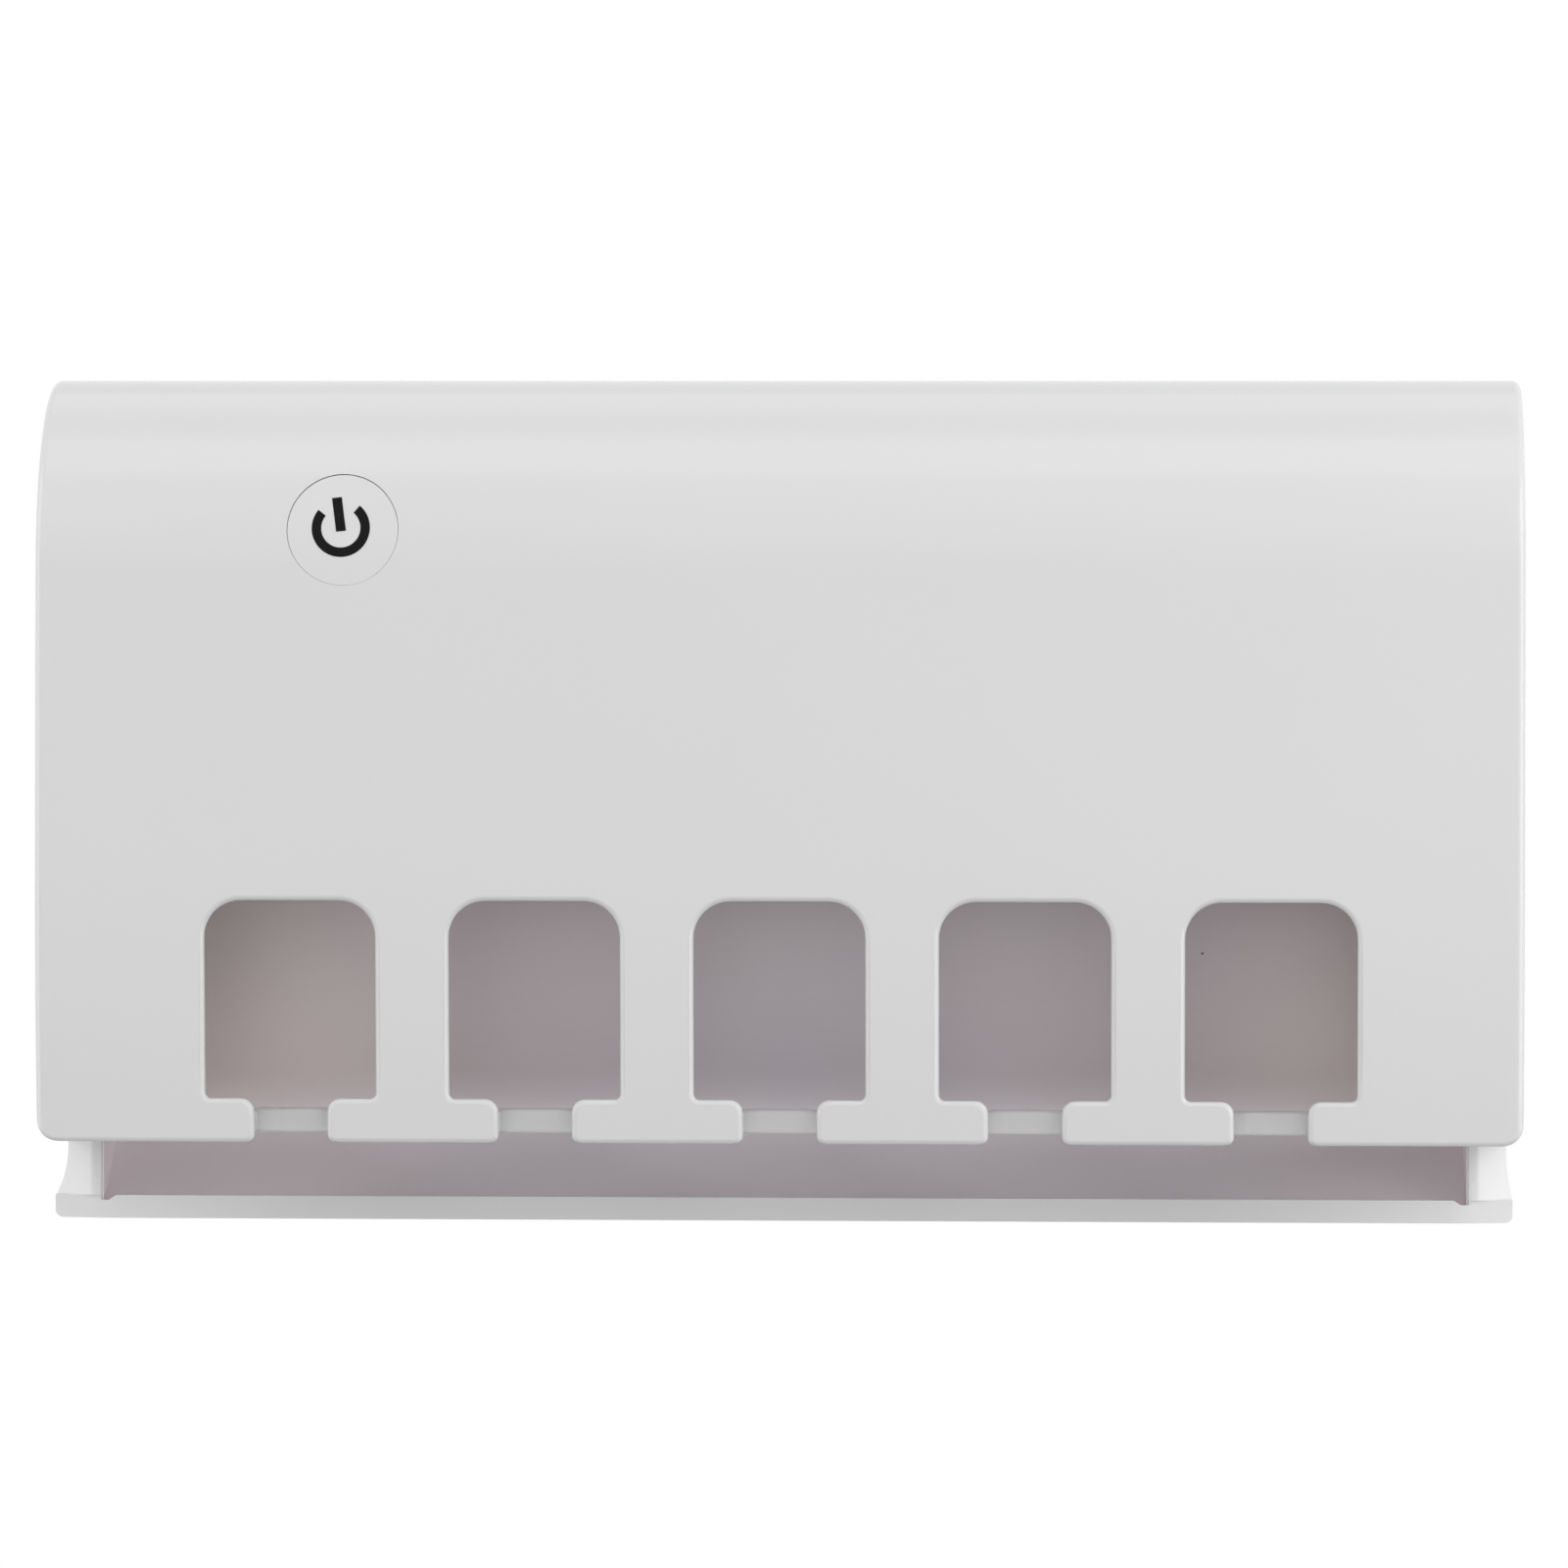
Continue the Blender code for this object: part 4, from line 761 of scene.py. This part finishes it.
def slot_cutter(centre):
    """The slot's cutter, flared at both faces of the curved wall to leave rounded rims."""
    rings = [[(x, shell_y(z) - OVERCUT, z) for x, z in slot_outline(centre, RIM_FILLET)]]
    for step in range(9):
        turn = radians(10 + 10 * step)
        spread = RIM_FILLET * (1 - sin(turn))
        depth = RIM_FILLET * (1 - cos(turn))
        rings.append([(x, shell_y(z) + depth, z) for x, z in slot_outline(centre, spread)])
    for step in range(1, 5):
        turn = radians(20 * step)
        spread = BACK_RIM_FILLET * (1 - cos(turn))
        depth = WALL - BACK_RIM_FILLET * (1 - sin(turn))
        rings.append([(x, shell_y(z) + depth, z) for x, z in slot_outline(centre, spread)])
    through = WALL + OVERCUT / 2
    rings.append([(x, shell_y(z) + through, z) for x, z in slot_outline(centre, BACK_RIM_FILLET)])
    return skin("slot_cutter", rings)


def neck_outline(centre, spread):
    """The notch from inside the front wall, which the slot's own cutter shapes, to its round end."""
    half = NECK_WIDTH / 2 + spread
    start = front_y(shelf_heights()[0]) + WALL - NOTCH_INSET
    end = -DEPTH + NECK_DEPTH + spread
    return rounded([(centre - half, start, 0.0), (centre + half, start, 0.0),
                    (centre + half, end, NECK_RADIUS), (centre - half, end, NECK_RADIUS)])


def neck_cutter(centre):
    """The shelf's U-shaped notch, flared at its top and underside."""
    top, bottom = shelf_heights()
    rings = []
    spreads = [(bottom - OVERCUT, SHELF_EDGE)]
    for step in range(5):
        turn = radians(10 + 20 * step)
        spreads.append((bottom + SHELF_EDGE * (1 - cos(turn)), SHELF_EDGE * (1 - sin(turn))))
    spreads += [(top + bottom - z, spread) for z, spread in spreads[:0:-1]]
    spreads.append((top + NOTCH_HEADROOM, SHELF_EDGE))
    for z, spread in spreads:
        rings.append([(x, y, z) for x, y in neck_outline(centre, spread)])
    return skin("neck_cutter", rings)


def shelf_pockets():
    """Pockets under the shelf, which leave ribs round each notch and along the back edge."""
    bottom = shelf_heights()[1]
    reach = NECK_WIDTH / 2 + SHELF_RIB
    inner = HALF_WIDTH - WALL
    edges = [-inner + SHELF_RIB]
    for centre in SLOT_X:
        edges += [centre - reach, centre + reach]
    edges.append(inner - SHELF_RIB)
    low_y = front_y(bottom) + WALL + SHELF_RIB
    cutters = []
    for left, right in zip(edges[0::2], edges[1::2]):
        corners = box_corners(left, right, low_y, SHELF_BACK_Y - SHELF_RIB, POCKET_RADIUS)
        cutters.append(prism("pocket", rounded(corners, 5), "Z", bottom - OVERCUT, bottom + SHELF_POCKET))
    return cutters


def boss(x, z, end_y):
    """A screw boss from the inside of the front wall, with its pilot hole."""
    outline = circle(x, z, BOSS_RADIUS)
    root = [(u, front_y(v) + WALL / 2, v) for u, v in outline]
    start_y = end_y - PILOT_DEPTH
    post = skin("boss", [root, [(u, end_y, v) for u, v in outline]])
    return cut(post, prism("pilot", circle(x, z, PILOT_RADIUS, 16), "Y", start_y, end_y + OVERCUT))


def screw_centres(prefix, count):
    """The screws' places across and up, from the frame."""
    boxes = [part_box(name) for name in numbered(prefix, count)]
    return [((low.x + high.x) / 2, (low.z + high.z) / 2) for low, high in boxes]


def port_outline(gap):
    """The charging port's round-ended opening, a gap wider than the inlet."""
    low_y, high_y = INLET_LOW.y - gap, INLET_HIGH.y + gap
    low_z, high_z = INLET_LOW.z - gap, INLET_HIGH.z + gap
    return rounded(box_corners(low_y, high_y, low_z, high_z, (high_y - low_y) * PORT_ROUNDNESS), 8)


def build_cover(finish):
    """The moulded shell, with finely rounded rims, edges and notches."""
    stations = [s * MM for s in (0.0, 0.04, 0.15, 0.35, 0.65, 1.05)]
    stations += [SIDE_FILLET, 2.1 * MM, 2.8 * MM, LOWER_CORNER]
    rings = []
    for sign in (-1, 1):
        side = []
        for distance in stations:
            section = cover_section(corner_inset(distance, SIDE_FILLET), corner_inset(distance, LOWER_CORNER))
            side.append([(sign * (HALF_WIDTH - distance), y, z) for y, z in section])
        rings += side if sign < 0 else side[::-1]
    cover = skin("cover_shell", rings)
    inner = HALF_WIDTH - WALL
    cut(cover, prism("cavity", cavity_section(), "X", -inner, inner))
    cut(cover, *shelf_pockets())
    for centre in SLOT_X:
        cut(cover, slot_cutter(centre), neck_cutter(centre))
    for x, z in screw_centres("housing_screw", 4):
        join(cover, boss(x, z, HOUSING_INNER_Y - CLEARANCE))
    for x, z in screw_centres("board_screw", 2):
        join(cover, boss(x, z, BOARD_FRONT_Y - CLEARANCE))
    cut(cover, button_hole_cutter())
    cut(cover, prism("port_hole", port_outline(CLEARANCE), "X", -HALF_WIDTH - OVERCUT, -inner + OVERCUT))
    return finish_surface(cover, finish)


def button_hole_cutter():
    """The button's hole, with a tiny rounded lip that follows the curve."""
    lip = CAP_LIP
    mouth = circle(BUTTON_X, BUTTON_Z, HOLE_RADIUS + lip, BUTTON_STEPS)
    rings = [[(x, front_y(z) - OVERCUT, z) for x, z in mouth]]
    for step in range(5):
        turn = radians(10 + 20 * step)
        edge = circle(BUTTON_X, BUTTON_Z, HOLE_RADIUS + lip * (1 - sin(turn)), BUTTON_STEPS)
        rings.append([(x, front_y(z) + lip * (1 - cos(turn)), z) for x, z in edge])
    rings.append([(x, HOLE_END_Y, z) for x, z in circle(BUTTON_X, BUTTON_Z, HOLE_RADIUS, BUTTON_STEPS)])
    return skin("button_hole", rings)


def build_button(finish):
    """The cap, whose face follows the cover's curve, with its flange and its stem."""
    x0, z0 = BUTTON_X + CAP_SHIFT, BUTTON_Z - CAP_DROP
    lip = CAP_LIP
    rings = []
    for share in (0.25, 0.5, 0.75, 0.9):
        rings.append([(x, front_y(z), z) for x, z in circle(x0, z0, CAP_RADIUS * share, BUTTON_STEPS)])
    for step in range(7):
        turn = radians(15 * step)
        radius = CAP_RADIUS - lip * (1 - sin(turn))
        edge = circle(x0, z0, radius, BUTTON_STEPS)
        rings.append([(x, front_y(z) + lip * (1 - cos(turn)), z) for x, z in edge])
    seat = CAP_SEAT_Y
    rings.append([(x, seat, z) for x, z in circle(x0, z0, CAP_RADIUS, BUTTON_STEPS)])
    flange = (BUTTON_HIGH.x - BUTTON_LOW.x) / 2
    rings.append([(x, seat + 0.01 * MM, z) for x, z in circle(BUTTON_X, BUTTON_Z, flange, BUTTON_STEPS)])
    rings.append([(x, seat + CAP_FLANGE, z) for x, z in circle(BUTTON_X, BUTTON_Z, flange, BUTTON_STEPS)])
    cap = skin("button_cap", rings)
    web = front_y(BUTTON_Z + CAP_RADIUS) + CAP_WEB
    cut(cap, prism("hollow", circle(BUTTON_X, BUTTON_Z, CAP_RADIUS - CAP_WALL, 48), "Y", web, seat + OVERCUT))
    join(cap, prism("stem", circle(BUTTON_X, BUTTON_Z, STEM_RADIUS, 32), "Y", web - CLEARANCE, BUTTON_HIGH.y))
    return finish_surface(cap, finish)


def curved_plate(name, rows):
    """A thin closed plate on the button's face, through rows of (x, z) points."""
    count = len(rows[0])
    verts = []
    for lift in (-INK, INK):
        for row in rows:
            verts += [(x, front_y(z) + lift, z) for x, z in row]
    size = len(rows) * count
    faces = []
    for r in range(len(rows) - 1):
        for i in range(count - 1):
            a = r * count + i
            quad = [a, a + 1, a + count + 1, a + count]
            faces.append(quad)
            faces.append([v + size for v in quad[::-1]])
    rim = list(range(count))
    rim += [r * count + count - 1 for r in range(1, len(rows))]
    rim += [(len(rows) - 1) * count + i for i in range(count - 2, -1, -1)]
    rim += [r * count for r in range(len(rows) - 2, 0, -1)]
    for a, b in zip(rim, rim[1:] + rim[:1]):
        faces.append([a, b, b + size, a + size])
    return new_piece(name, verts, faces)


def symbol_point(u, v):
    """A point of the power symbol, turned by the print's tilt."""
    x = u * cos(SYMBOL_TILT) - v * sin(SYMBOL_TILT)
    z = u * sin(SYMBOL_TILT) + v * cos(SYMBOL_TILT)
    return BUTTON_X - SYMBOL_OFFSET + x, BUTTON_Z + SYMBOL_RAISE + z


def build_symbol(finish):
    """The generic power symbol: an open ring and an upright bar, printed on the cap."""
    rows = []
    steps = 72
    for i in range(steps + 1):
        angle = pi / 2 + SYMBOL_OPENING / 2 + (2 * pi - SYMBOL_OPENING) * i / steps
        rows.append([symbol_point(radius * cos(angle), radius * sin(angle))
                     for radius in (SYMBOL_BORE, (SYMBOL_BORE + SYMBOL_RADIUS) / 2, SYMBOL_RADIUS)])
    ring = curved_plate("power_symbol_ring", rows)
    rows = []
    steps = 12
    for i in range(steps + 1):
        v = BAR_TOP - BAR_LENGTH * i / steps
        lean = (BAR_TOP - BAR_LENGTH - v) * tan(BAR_LEAN)
        rows.append([symbol_point(lean + u, v) for u in (-BAR_WIDTH / 2, 0.0, BAR_WIDTH / 2)])
    bar = curved_plate("power_symbol_bar", rows)
    for piece in (ring, bar):
        piece.data.materials.append(finish)
        piece.data.shade_smooth()
        piece.data.set_sharp_from_angle(angle=radians(40))
    return ring, bar


# The tray and its panel


def tray_outline():
    """The tray from the front: straight sides that flare into the base."""
    flare = TRAY_HIGH.x - TRAY_OUTER_X
    flare_top = BASE_Z + LIP_HEIGHT + FLARE_HEIGHT
    right = [(TRAY_OUTER_X, TRAY_HIGH.z)]
    steps = 18
    for i in range(steps + 1):
        share = i / steps
        right.append((TRAY_OUTER_X + flare * share ** 2, flare_top - FLARE_HEIGHT * share))
    steps = 8
    for i in range(1, steps + 1):
        angle = -pi / 2 * i / steps
        right.append((TRAY_HIGH.x - BASE_CORNER + BASE_CORNER * cos(angle),
                      BASE_Z + BASE_CORNER * (1 + sin(angle))))
    shifted = []
    for x, z in right + [(-x, z) for x, z in right[::-1]]:
        share = min(max((flare_top - z) / FLARE_HEIGHT, 0.0), 1.0)
        shifted.append((x + TRAY_SHIFT + (BASE_SHIFT - TRAY_SHIFT) * share ** 2, z))
    return shifted


def tray_cavity_section():
    """The space inside the tray, which leaves the back plate, the floor and the lip."""
    front = TRAY_LOW.y
    lip_y = front + LIP_THICKNESS
    floor_z = BASE_Z + FLOOR_THICKNESS
    lip_z = BASE_Z + LIP_HEIGHT
    corners = [(-BACK_PLATE, TOP_Z + OVERCUT, 0.0), (-BACK_PLATE, floor_z, FLOOR_FILLET),
               (lip_y, floor_z, 0.0), (lip_y, lip_z, 0.0),
               (front - OVERCUT, lip_z, 0.0), (front - OVERCUT, TOP_Z + OVERCUT, 0.0)]
    return rounded(corners)


def lug(x):
    """A T-shaped lug that the unit's channel slides down over."""
    foot = LUG_TOP_Z - LUG_HEIGHT
    wide, deep, narrow = LUG_HEAD_HALF_WIDTH, LUG_HEAD_HALF_DEPTH, LUG_STEM_HALF_WIDTH
    head = block("lug_head", (x - wide, LUG_HEAD_Y - deep, foot), (x + wide, LUG_HEAD_Y + deep, LUG_TOP_Z))
    stem = block("lug_stem", (x - narrow, LUG_HEAD_Y, foot), (x + narrow, -BACK_PLATE / 2, LUG_TOP_Z))
    return join(head, stem)


def keyhole(x):
    """The cutter for a keyhole: a round head and a slot that runs up from it."""
    radius = KEYHOLE_SLOT_RADIUS
    top = KEYHOLE_Z + KEYHOLE_SLOT_LENGTH + radius
    front = -BACK_PLATE - OVERCUT
    head = prism("keyhole", circle(x, KEYHOLE_Z, KEYHOLE_HEAD_RADIUS, 40), "Y", OVERCUT, front)
    corners = [(x - radius, KEYHOLE_Z, 0.0), (x + radius, KEYHOLE_Z, 0.0), (x + radius, top, radius * 0.99),
               (x - radius, top, radius * 0.99)]
    return join(head, prism("slot", rounded(corners, 8), "Y", OVERCUT * 0.9, front + OVERCUT * 0.1))


def lean_cutter(sign, start, bend, lean, low_z, high_z):
    """The wedge that turns a side's front outwards, over a bend and then straight."""
    front = TRAY_LOW.y
    steps = 8
    x, y = start, front
    outline = [(sign * x, y)]
    for step in range(steps):
        x += bend / steps
        y += bend / steps * tan(radians(lean * (step + 0.5) / steps))
        outline.append((sign * x, y))
    reach = TRAY_HIGH.x + OVERCUT - x
    outline.append((sign * (x + reach), y + reach * tan(radians(lean))))
    outline += [(sign * (x + reach), front - OVERCUT), (sign * start, front - OVERCUT)]
    return prism("lean", outline, "Z", low_z, high_z)


def build_tray(finish):
    """The wall tray, with softened edges, stepped sides and a dipped lip."""
    front = TRAY_LOW.y
    inner_x = TRAY_OUTER_X - TRAY_WALL
    lip_z = BASE_Z + LIP_HEIGHT
    tray = prism("tray_shell", tray_outline(), "Y", 0.0, front)
    cut(tray, prism("cavity", tray_cavity_section(), "X", -inner_x, inner_x))
    step_x = TRAY_OUTER_X - TRAY_OUTER_LAYER
    for sign in (-1, 1):
        low_x, high_x = sorted((sign * (inner_x - CLEARANCE), sign * step_x))
        cut(tray, block("step", (low_x, front - OVERCUT, lip_z + TRAY_STEP_RISE),
                        (high_x, front + TRAY_STEP, TOP_Z + OVERCUT)))
        strip = step_x - inner_x - TRAY_LEAN_START
        facet_x = step_x - strip * tan(radians(TRAY_STRIP_LEAN)) / tan(radians(TRAY_LEAN))
        strip_x = inner_x + TRAY_LEAN_START
        cut(tray, lean_cutter(sign, strip_x, TRAY_BEND, TRAY_STRIP_LEAN, lip_z, TOP_Z + OVERCUT),
            lean_cutter(sign, facet_x, TRAY_BEND, TRAY_LEAN, lip_z, TOP_Z + OVERCUT),
            lean_cutter(sign, TRAY_OUTER_X - BASE_ROUNDING, BASE_BEND, BASE_LEAN, BASE_Z - OVERCUT, lip_z))
        edge = inner_x + SLIVER
        dip = [(sign * edge, lip_z - LIP_DIP), (sign * (inner_x - LIP_DIP_WIDTH), lip_z - LIP_DIP),
               (sign * (inner_x - 2 * LIP_DIP_WIDTH), lip_z + SLIVER), (sign * edge, lip_z + SLIVER)]
        cut(tray, prism("dip", dip, "Y", front - OVERCUT, front + LIP_THICKNESS + CLEARANCE))
    soften(tray, TRAY_EDGE)
    for sign in (-1, 1):
        join(tray, lug(sign * LUG_X))
        cut(tray, keyhole(sign * KEYHOLE_X))
    for side in ("left", "right"):
        low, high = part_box(f"adhesive_pad_{side}")
        gap = CLEARANCE
        corners = box_corners(low.x - gap, high.x + gap, low.z - gap, high.z + gap, PAD_POCKET_RADIUS)
        outline = rounded(corners, 8)
        cut(tray, prism("pocket", outline, "Y", OVERCUT, low.y - gap))
    return finish_surface(tray, finish)


def build_panel(finish):
    """The satin sheet, bent forward at its foot behind the lip, with low flanges at its sides."""
    thickness, bend, slope, gap = SHEET_THICKNESS, SHEET_BEND, SHEET_SLOPE, CLEARANCE
    toe_y = TRAY_LOW.y + LIP_THICKNESS + gap + thickness * sin(slope)
    toe_z = BASE_Z + FLOOR_THICKNESS + gap
    centre_y = -BACK_PLATE - gap - thickness - bend
    centre_z = toe_z + (bend + thickness + (centre_y - toe_y) * sin(slope)) / cos(slope)
    near = [(centre_y + bend, PANEL_TOP_Z)]
    far = [(centre_y + bend + thickness, PANEL_TOP_Z)]
    steps = 32
    for i in range(steps + 1):
        angle = (pi / 2 - slope) * i / steps
        near.append((centre_y + bend * cos(angle), centre_z - bend * sin(angle)))
        far.append((centre_y + (bend + thickness) * cos(angle), centre_z - (bend + thickness) * sin(angle)))
    near.append((toe_y - thickness * sin(slope), toe_z + thickness * cos(slope)))
    far.append((toe_y, toe_z))
    half = TRAY_OUTER_X - TRAY_WALL - SHEET_SIDE_GAP
    panel = prism("reflector_sheet", near + far[::-1], "X", -half, half)
    flange = [(FLANGE_FRONT_Y, toe_z), (centre_y + bend, toe_z), (centre_y + bend, FLANGE_TOP_Z),
              (FLANGE_FRONT_Y, FLANGE_TOP_Z)]
    for sign in (-1, 1):
        near_x, far_x = sorted((sign * half, sign * (half - FLANGE_THICKNESS)))
        join(panel, prism("flange", flange, "X", near_x, far_x))
    return finish_surface(panel, finish)


# Room, light and camera


def seen_rays(tree):
    """1 for rays that the eye follows straight, mirrored or through glass."""
    path = tree.nodes.new("ShaderNodeLightPath")
    seen = Sock(tree, path.outputs["Is Camera Ray"]) + Sock(tree, path.outputs["Is Glossy Ray"])
    return (seen + Sock(tree, path.outputs["Is Transmission Ray"])).clamped()


def white_world():
    """White to the eye and in reflections, and a softer fill, strongest from the front and back."""
    world = bpy.data.worlds.new("white_room")
    bpy.context.scene.world = world
    world.use_nodes = True
    tree = world.node_tree
    shader = Shader(tree)
    seen = seen_rays(tree)
    _, y, z = shader.parts(shader.node("ShaderNodeTexCoord", output="Generated"))
    fill = FILL_LOW + (FILL_HIGH - FILL_LOW) * z.rising(0.0, 0.5) + FILL_FRONT * (0 - y).rising(0.6, 1.0)
    fill = fill + FILL_BACK * y.rising(0.3, 1.0)
    strength = seen * (1.0 - fill) + fill
    background = tree.nodes["Background"]
    background.inputs["Color"].default_value = colour(1.0)
    tree.links.new(strength.socket, background.inputs["Strength"])


def softbox(name, place, size, power):
    """A rectangular lamp that faces the object."""
    lamp = bpy.data.lights.new(name, "AREA")
    lamp.shape = "RECTANGLE"
    lamp.size, lamp.size_y = size
    lamp.energy = power
    box = bpy.data.objects.new(name, lamp)
    box.location = place
    box.rotation_euler = (Vector(LAMP_TARGET) - Vector(place)).to_track_quat("-Z", "Y").to_euler()
    bpy.context.scene.collection.objects.link(box)


def aside(azimuth, elevation):
    """A lamp's place, by its angles right of and up from straight in front."""
    across, up = radians(azimuth), radians(elevation)
    reach = LAMP_DISTANCE * cos(up)
    return reach * sin(across), LAMP_TARGET[1] - reach * cos(across), LAMP_DISTANCE * sin(up)


def build_lights():
    """Two boxes overhead with a gap between them, a soft pair in front, and a stronger pair at the sides."""
    softbox("front_softbox", aside(0, OVERHEAD_FRONT), OVERHEAD_SIZE, FRONT_POWER)
    softbox("rear_softbox", aside(0, OVERHEAD_REAR), OVERHEAD_SIZE, REAR_POWER)
    softbox("left_key", aside(-KEY_AZIMUTH, KEY_ELEVATION), KEY_SIZE, LEFT_KEY_POWER)
    softbox("right_key", aside(KEY_AZIMUTH, KEY_ELEVATION), KEY_SIZE, RIGHT_KEY_POWER)
    softbox("left_softbox", LEFT_PLACE, SIDE_SIZE, LEFT_POWER)
    softbox("right_softbox", RIGHT_PLACE, SIDE_SIZE, RIGHT_POWER)


def build_floor():
    """A pale round floor well below the wall unit, faded to white at its edge."""
    steps = 64
    rings = [circle(0.0, 0.0, radius, steps) for radius in (FLOOR_CENTRE_RADIUS, FLOOR_RADIUS)]
    verts = [(x, y, FLOOR_Z) for ring in rings for x, y in ring]
    faces = [list(range(steps))]
    faces += [[i, (i + 1) % steps, steps + (i + 1) % steps, steps + i] for i in range(steps)]
    floor = new_piece("pale_floor", verts, faces)
    made = bpy.data.materials.new("pale_floor")
    made.use_nodes = True
    tree = made.node_tree
    shader = Shader(tree)
    x, y, _ = shader.parts(shader.place())
    far = ((x * x + y * y) ** 0.5).rising(FLOOR_RADIUS * 0.2, FLOOR_RADIUS * 0.95)
    principled = tree.nodes["Principled BSDF"]
    principled.inputs["Base Color"].default_value = colour(FLOOR_SHADE)
    principled.inputs["Roughness"].default_value = 0.8
    glow = shader.node("ShaderNodeEmission", None, {"Color": colour(1.0), "Strength": 1.0})
    mixer = tree.nodes.new("ShaderNodeMixShader")
    tree.links.new((seen_rays(tree) * (far * 0.4 + 0.6)).socket, mixer.inputs[0])
    tree.links.new(principled.outputs[0], mixer.inputs[1])
    tree.links.new(glow.socket, mixer.inputs[2])
    output = tree.nodes["Material Output"]
    tree.links.new(mixer.outputs[0], output.inputs["Surface"])
    floor.data.materials.append(made)


def build_camera():
    """A long lens a little to the right, turned back towards the middle."""
    scale = METRES_PER_PIXEL
    focal = CAMERA_DISTANCE / scale
    data = bpy.data.cameras.new("camera")
    data.sensor_width = 36.0
    data.lens = focal * data.sensor_width / PHOTO_SIZE
    camera = bpy.data.objects.new("camera", data)
    bpy.context.scene.collection.objects.link(camera)
    camera.location = (CAMERA_X, -DEPTH - CAMERA_DISTANCE, TOP_Z - (PHOTO_CENTRE - TOP_ROW) * scale)
    data.shift_x = (PHOTO_CENTRE - OBJECT_CENTRE_X) / PHOTO_SIZE
    yaw, level = Matrix.Rotation(CAMERA_YAW, 4, "Z"), Matrix.Rotation(pi / 2, 4, "X")
    camera.rotation_euler = (yaw @ level @ Matrix.Rotation(CAMERA_ROLL, 4, "Z")).to_euler()
    data.clip_start, data.clip_end = 0.05, 50.0
    bpy.context.scene.camera = camera


def dress(names, finish):
    """Gives CAD nodes a finish."""
    for name in names:
        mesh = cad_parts[name].data
        mesh.materials.clear()
        mesh.materials.append(finish)


def numbered(prefix, count):
    """The names of a numbered row of CAD nodes."""
    return [f"{prefix}_{n}" for n in range(1, count + 1)]


def main():
    """Dresses or replaces every CAD node, then adds the world, the lamps, the floor and the camera."""
    scene = bpy.context.scene
    scene.view_settings.view_transform = "Standard"
    white = moulded_white("white_shell", (0.690, 0.690, 0.693), SHELL_ROUGHNESS)
    cap_white = moulded_white("cap_white", (0.694, 0.694, 0.697), SHELL_ROUGHNESS, 0.4)
    inner_white = moulded_white("inner_white", (0.84, 0.84, 0.84), 0.35, 0.8)
    black = dark_plastic("black_plastic")
    steel = metal("inlet_steel", (0.70, 0.71, 0.72), 0.28)

    cover = build_cover(white)
    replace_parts(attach(cover, "unit"), "front_cover")
    button = build_button(cap_white)
    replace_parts(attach(button, "button"), "power_button")
    for mark in build_symbol(printed_ink("symbol_ink")):
        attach(mark, "button")
    # the tray's white carries painted shade over the middle of its lip
    tray_white = moulded_white("tray_white", (0.738, 0.738, 0.741), SHELL_ROUGHNESS, painted_lip_shade=LIP_PAINTED_SHADE)
    tray = build_tray(tray_white)
    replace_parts(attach(tray, "tray"), "wall_tray")
    panel = build_panel(satin_reflector("reflector"))
    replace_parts(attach(panel, "tray"), "reflector_panel")

    dress(["rear_housing"], inner_white)
    dress(["adhesive_pad_left", "adhesive_pad_right"], foam("pad_foam"))
    dress(["switch_plunger", "switch_body", "inlet_tongue"], black)
    dress(["battery_cradle", "lead_black", "control_chip"], black)
    dress(["control_board"], circuit_board("board_green"))
    dress(["charging_inlet", "battery_contact_left", "battery_contact_right"], steel)
    dress(["battery_cell"], film_wrap("cell_wrap", (0.10, 0.22, 0.42)))
    dress(["lead_red"], dark_plastic("lead_red", (0.50, 0.03, 0.03), 0.4))
    dress(["lamp_lead", "lamp_strip"], moulded_white("strip_white", (0.74, 0.75, 0.72), 0.40))
    screws = numbered("housing_screw", 4) + numbered("board_screw", 2)
    dress(screws, metal("screw_steel", (0.62, 0.63, 0.65), 0.30))
    dress(numbered("uv_led", 5), lamp_package("led_ceramic"))
    dress(numbered("lamp_glass", 5), clear_glass("lamp_glass"))

    white_world()
    build_lights()
    build_floor()
    build_camera()


main()
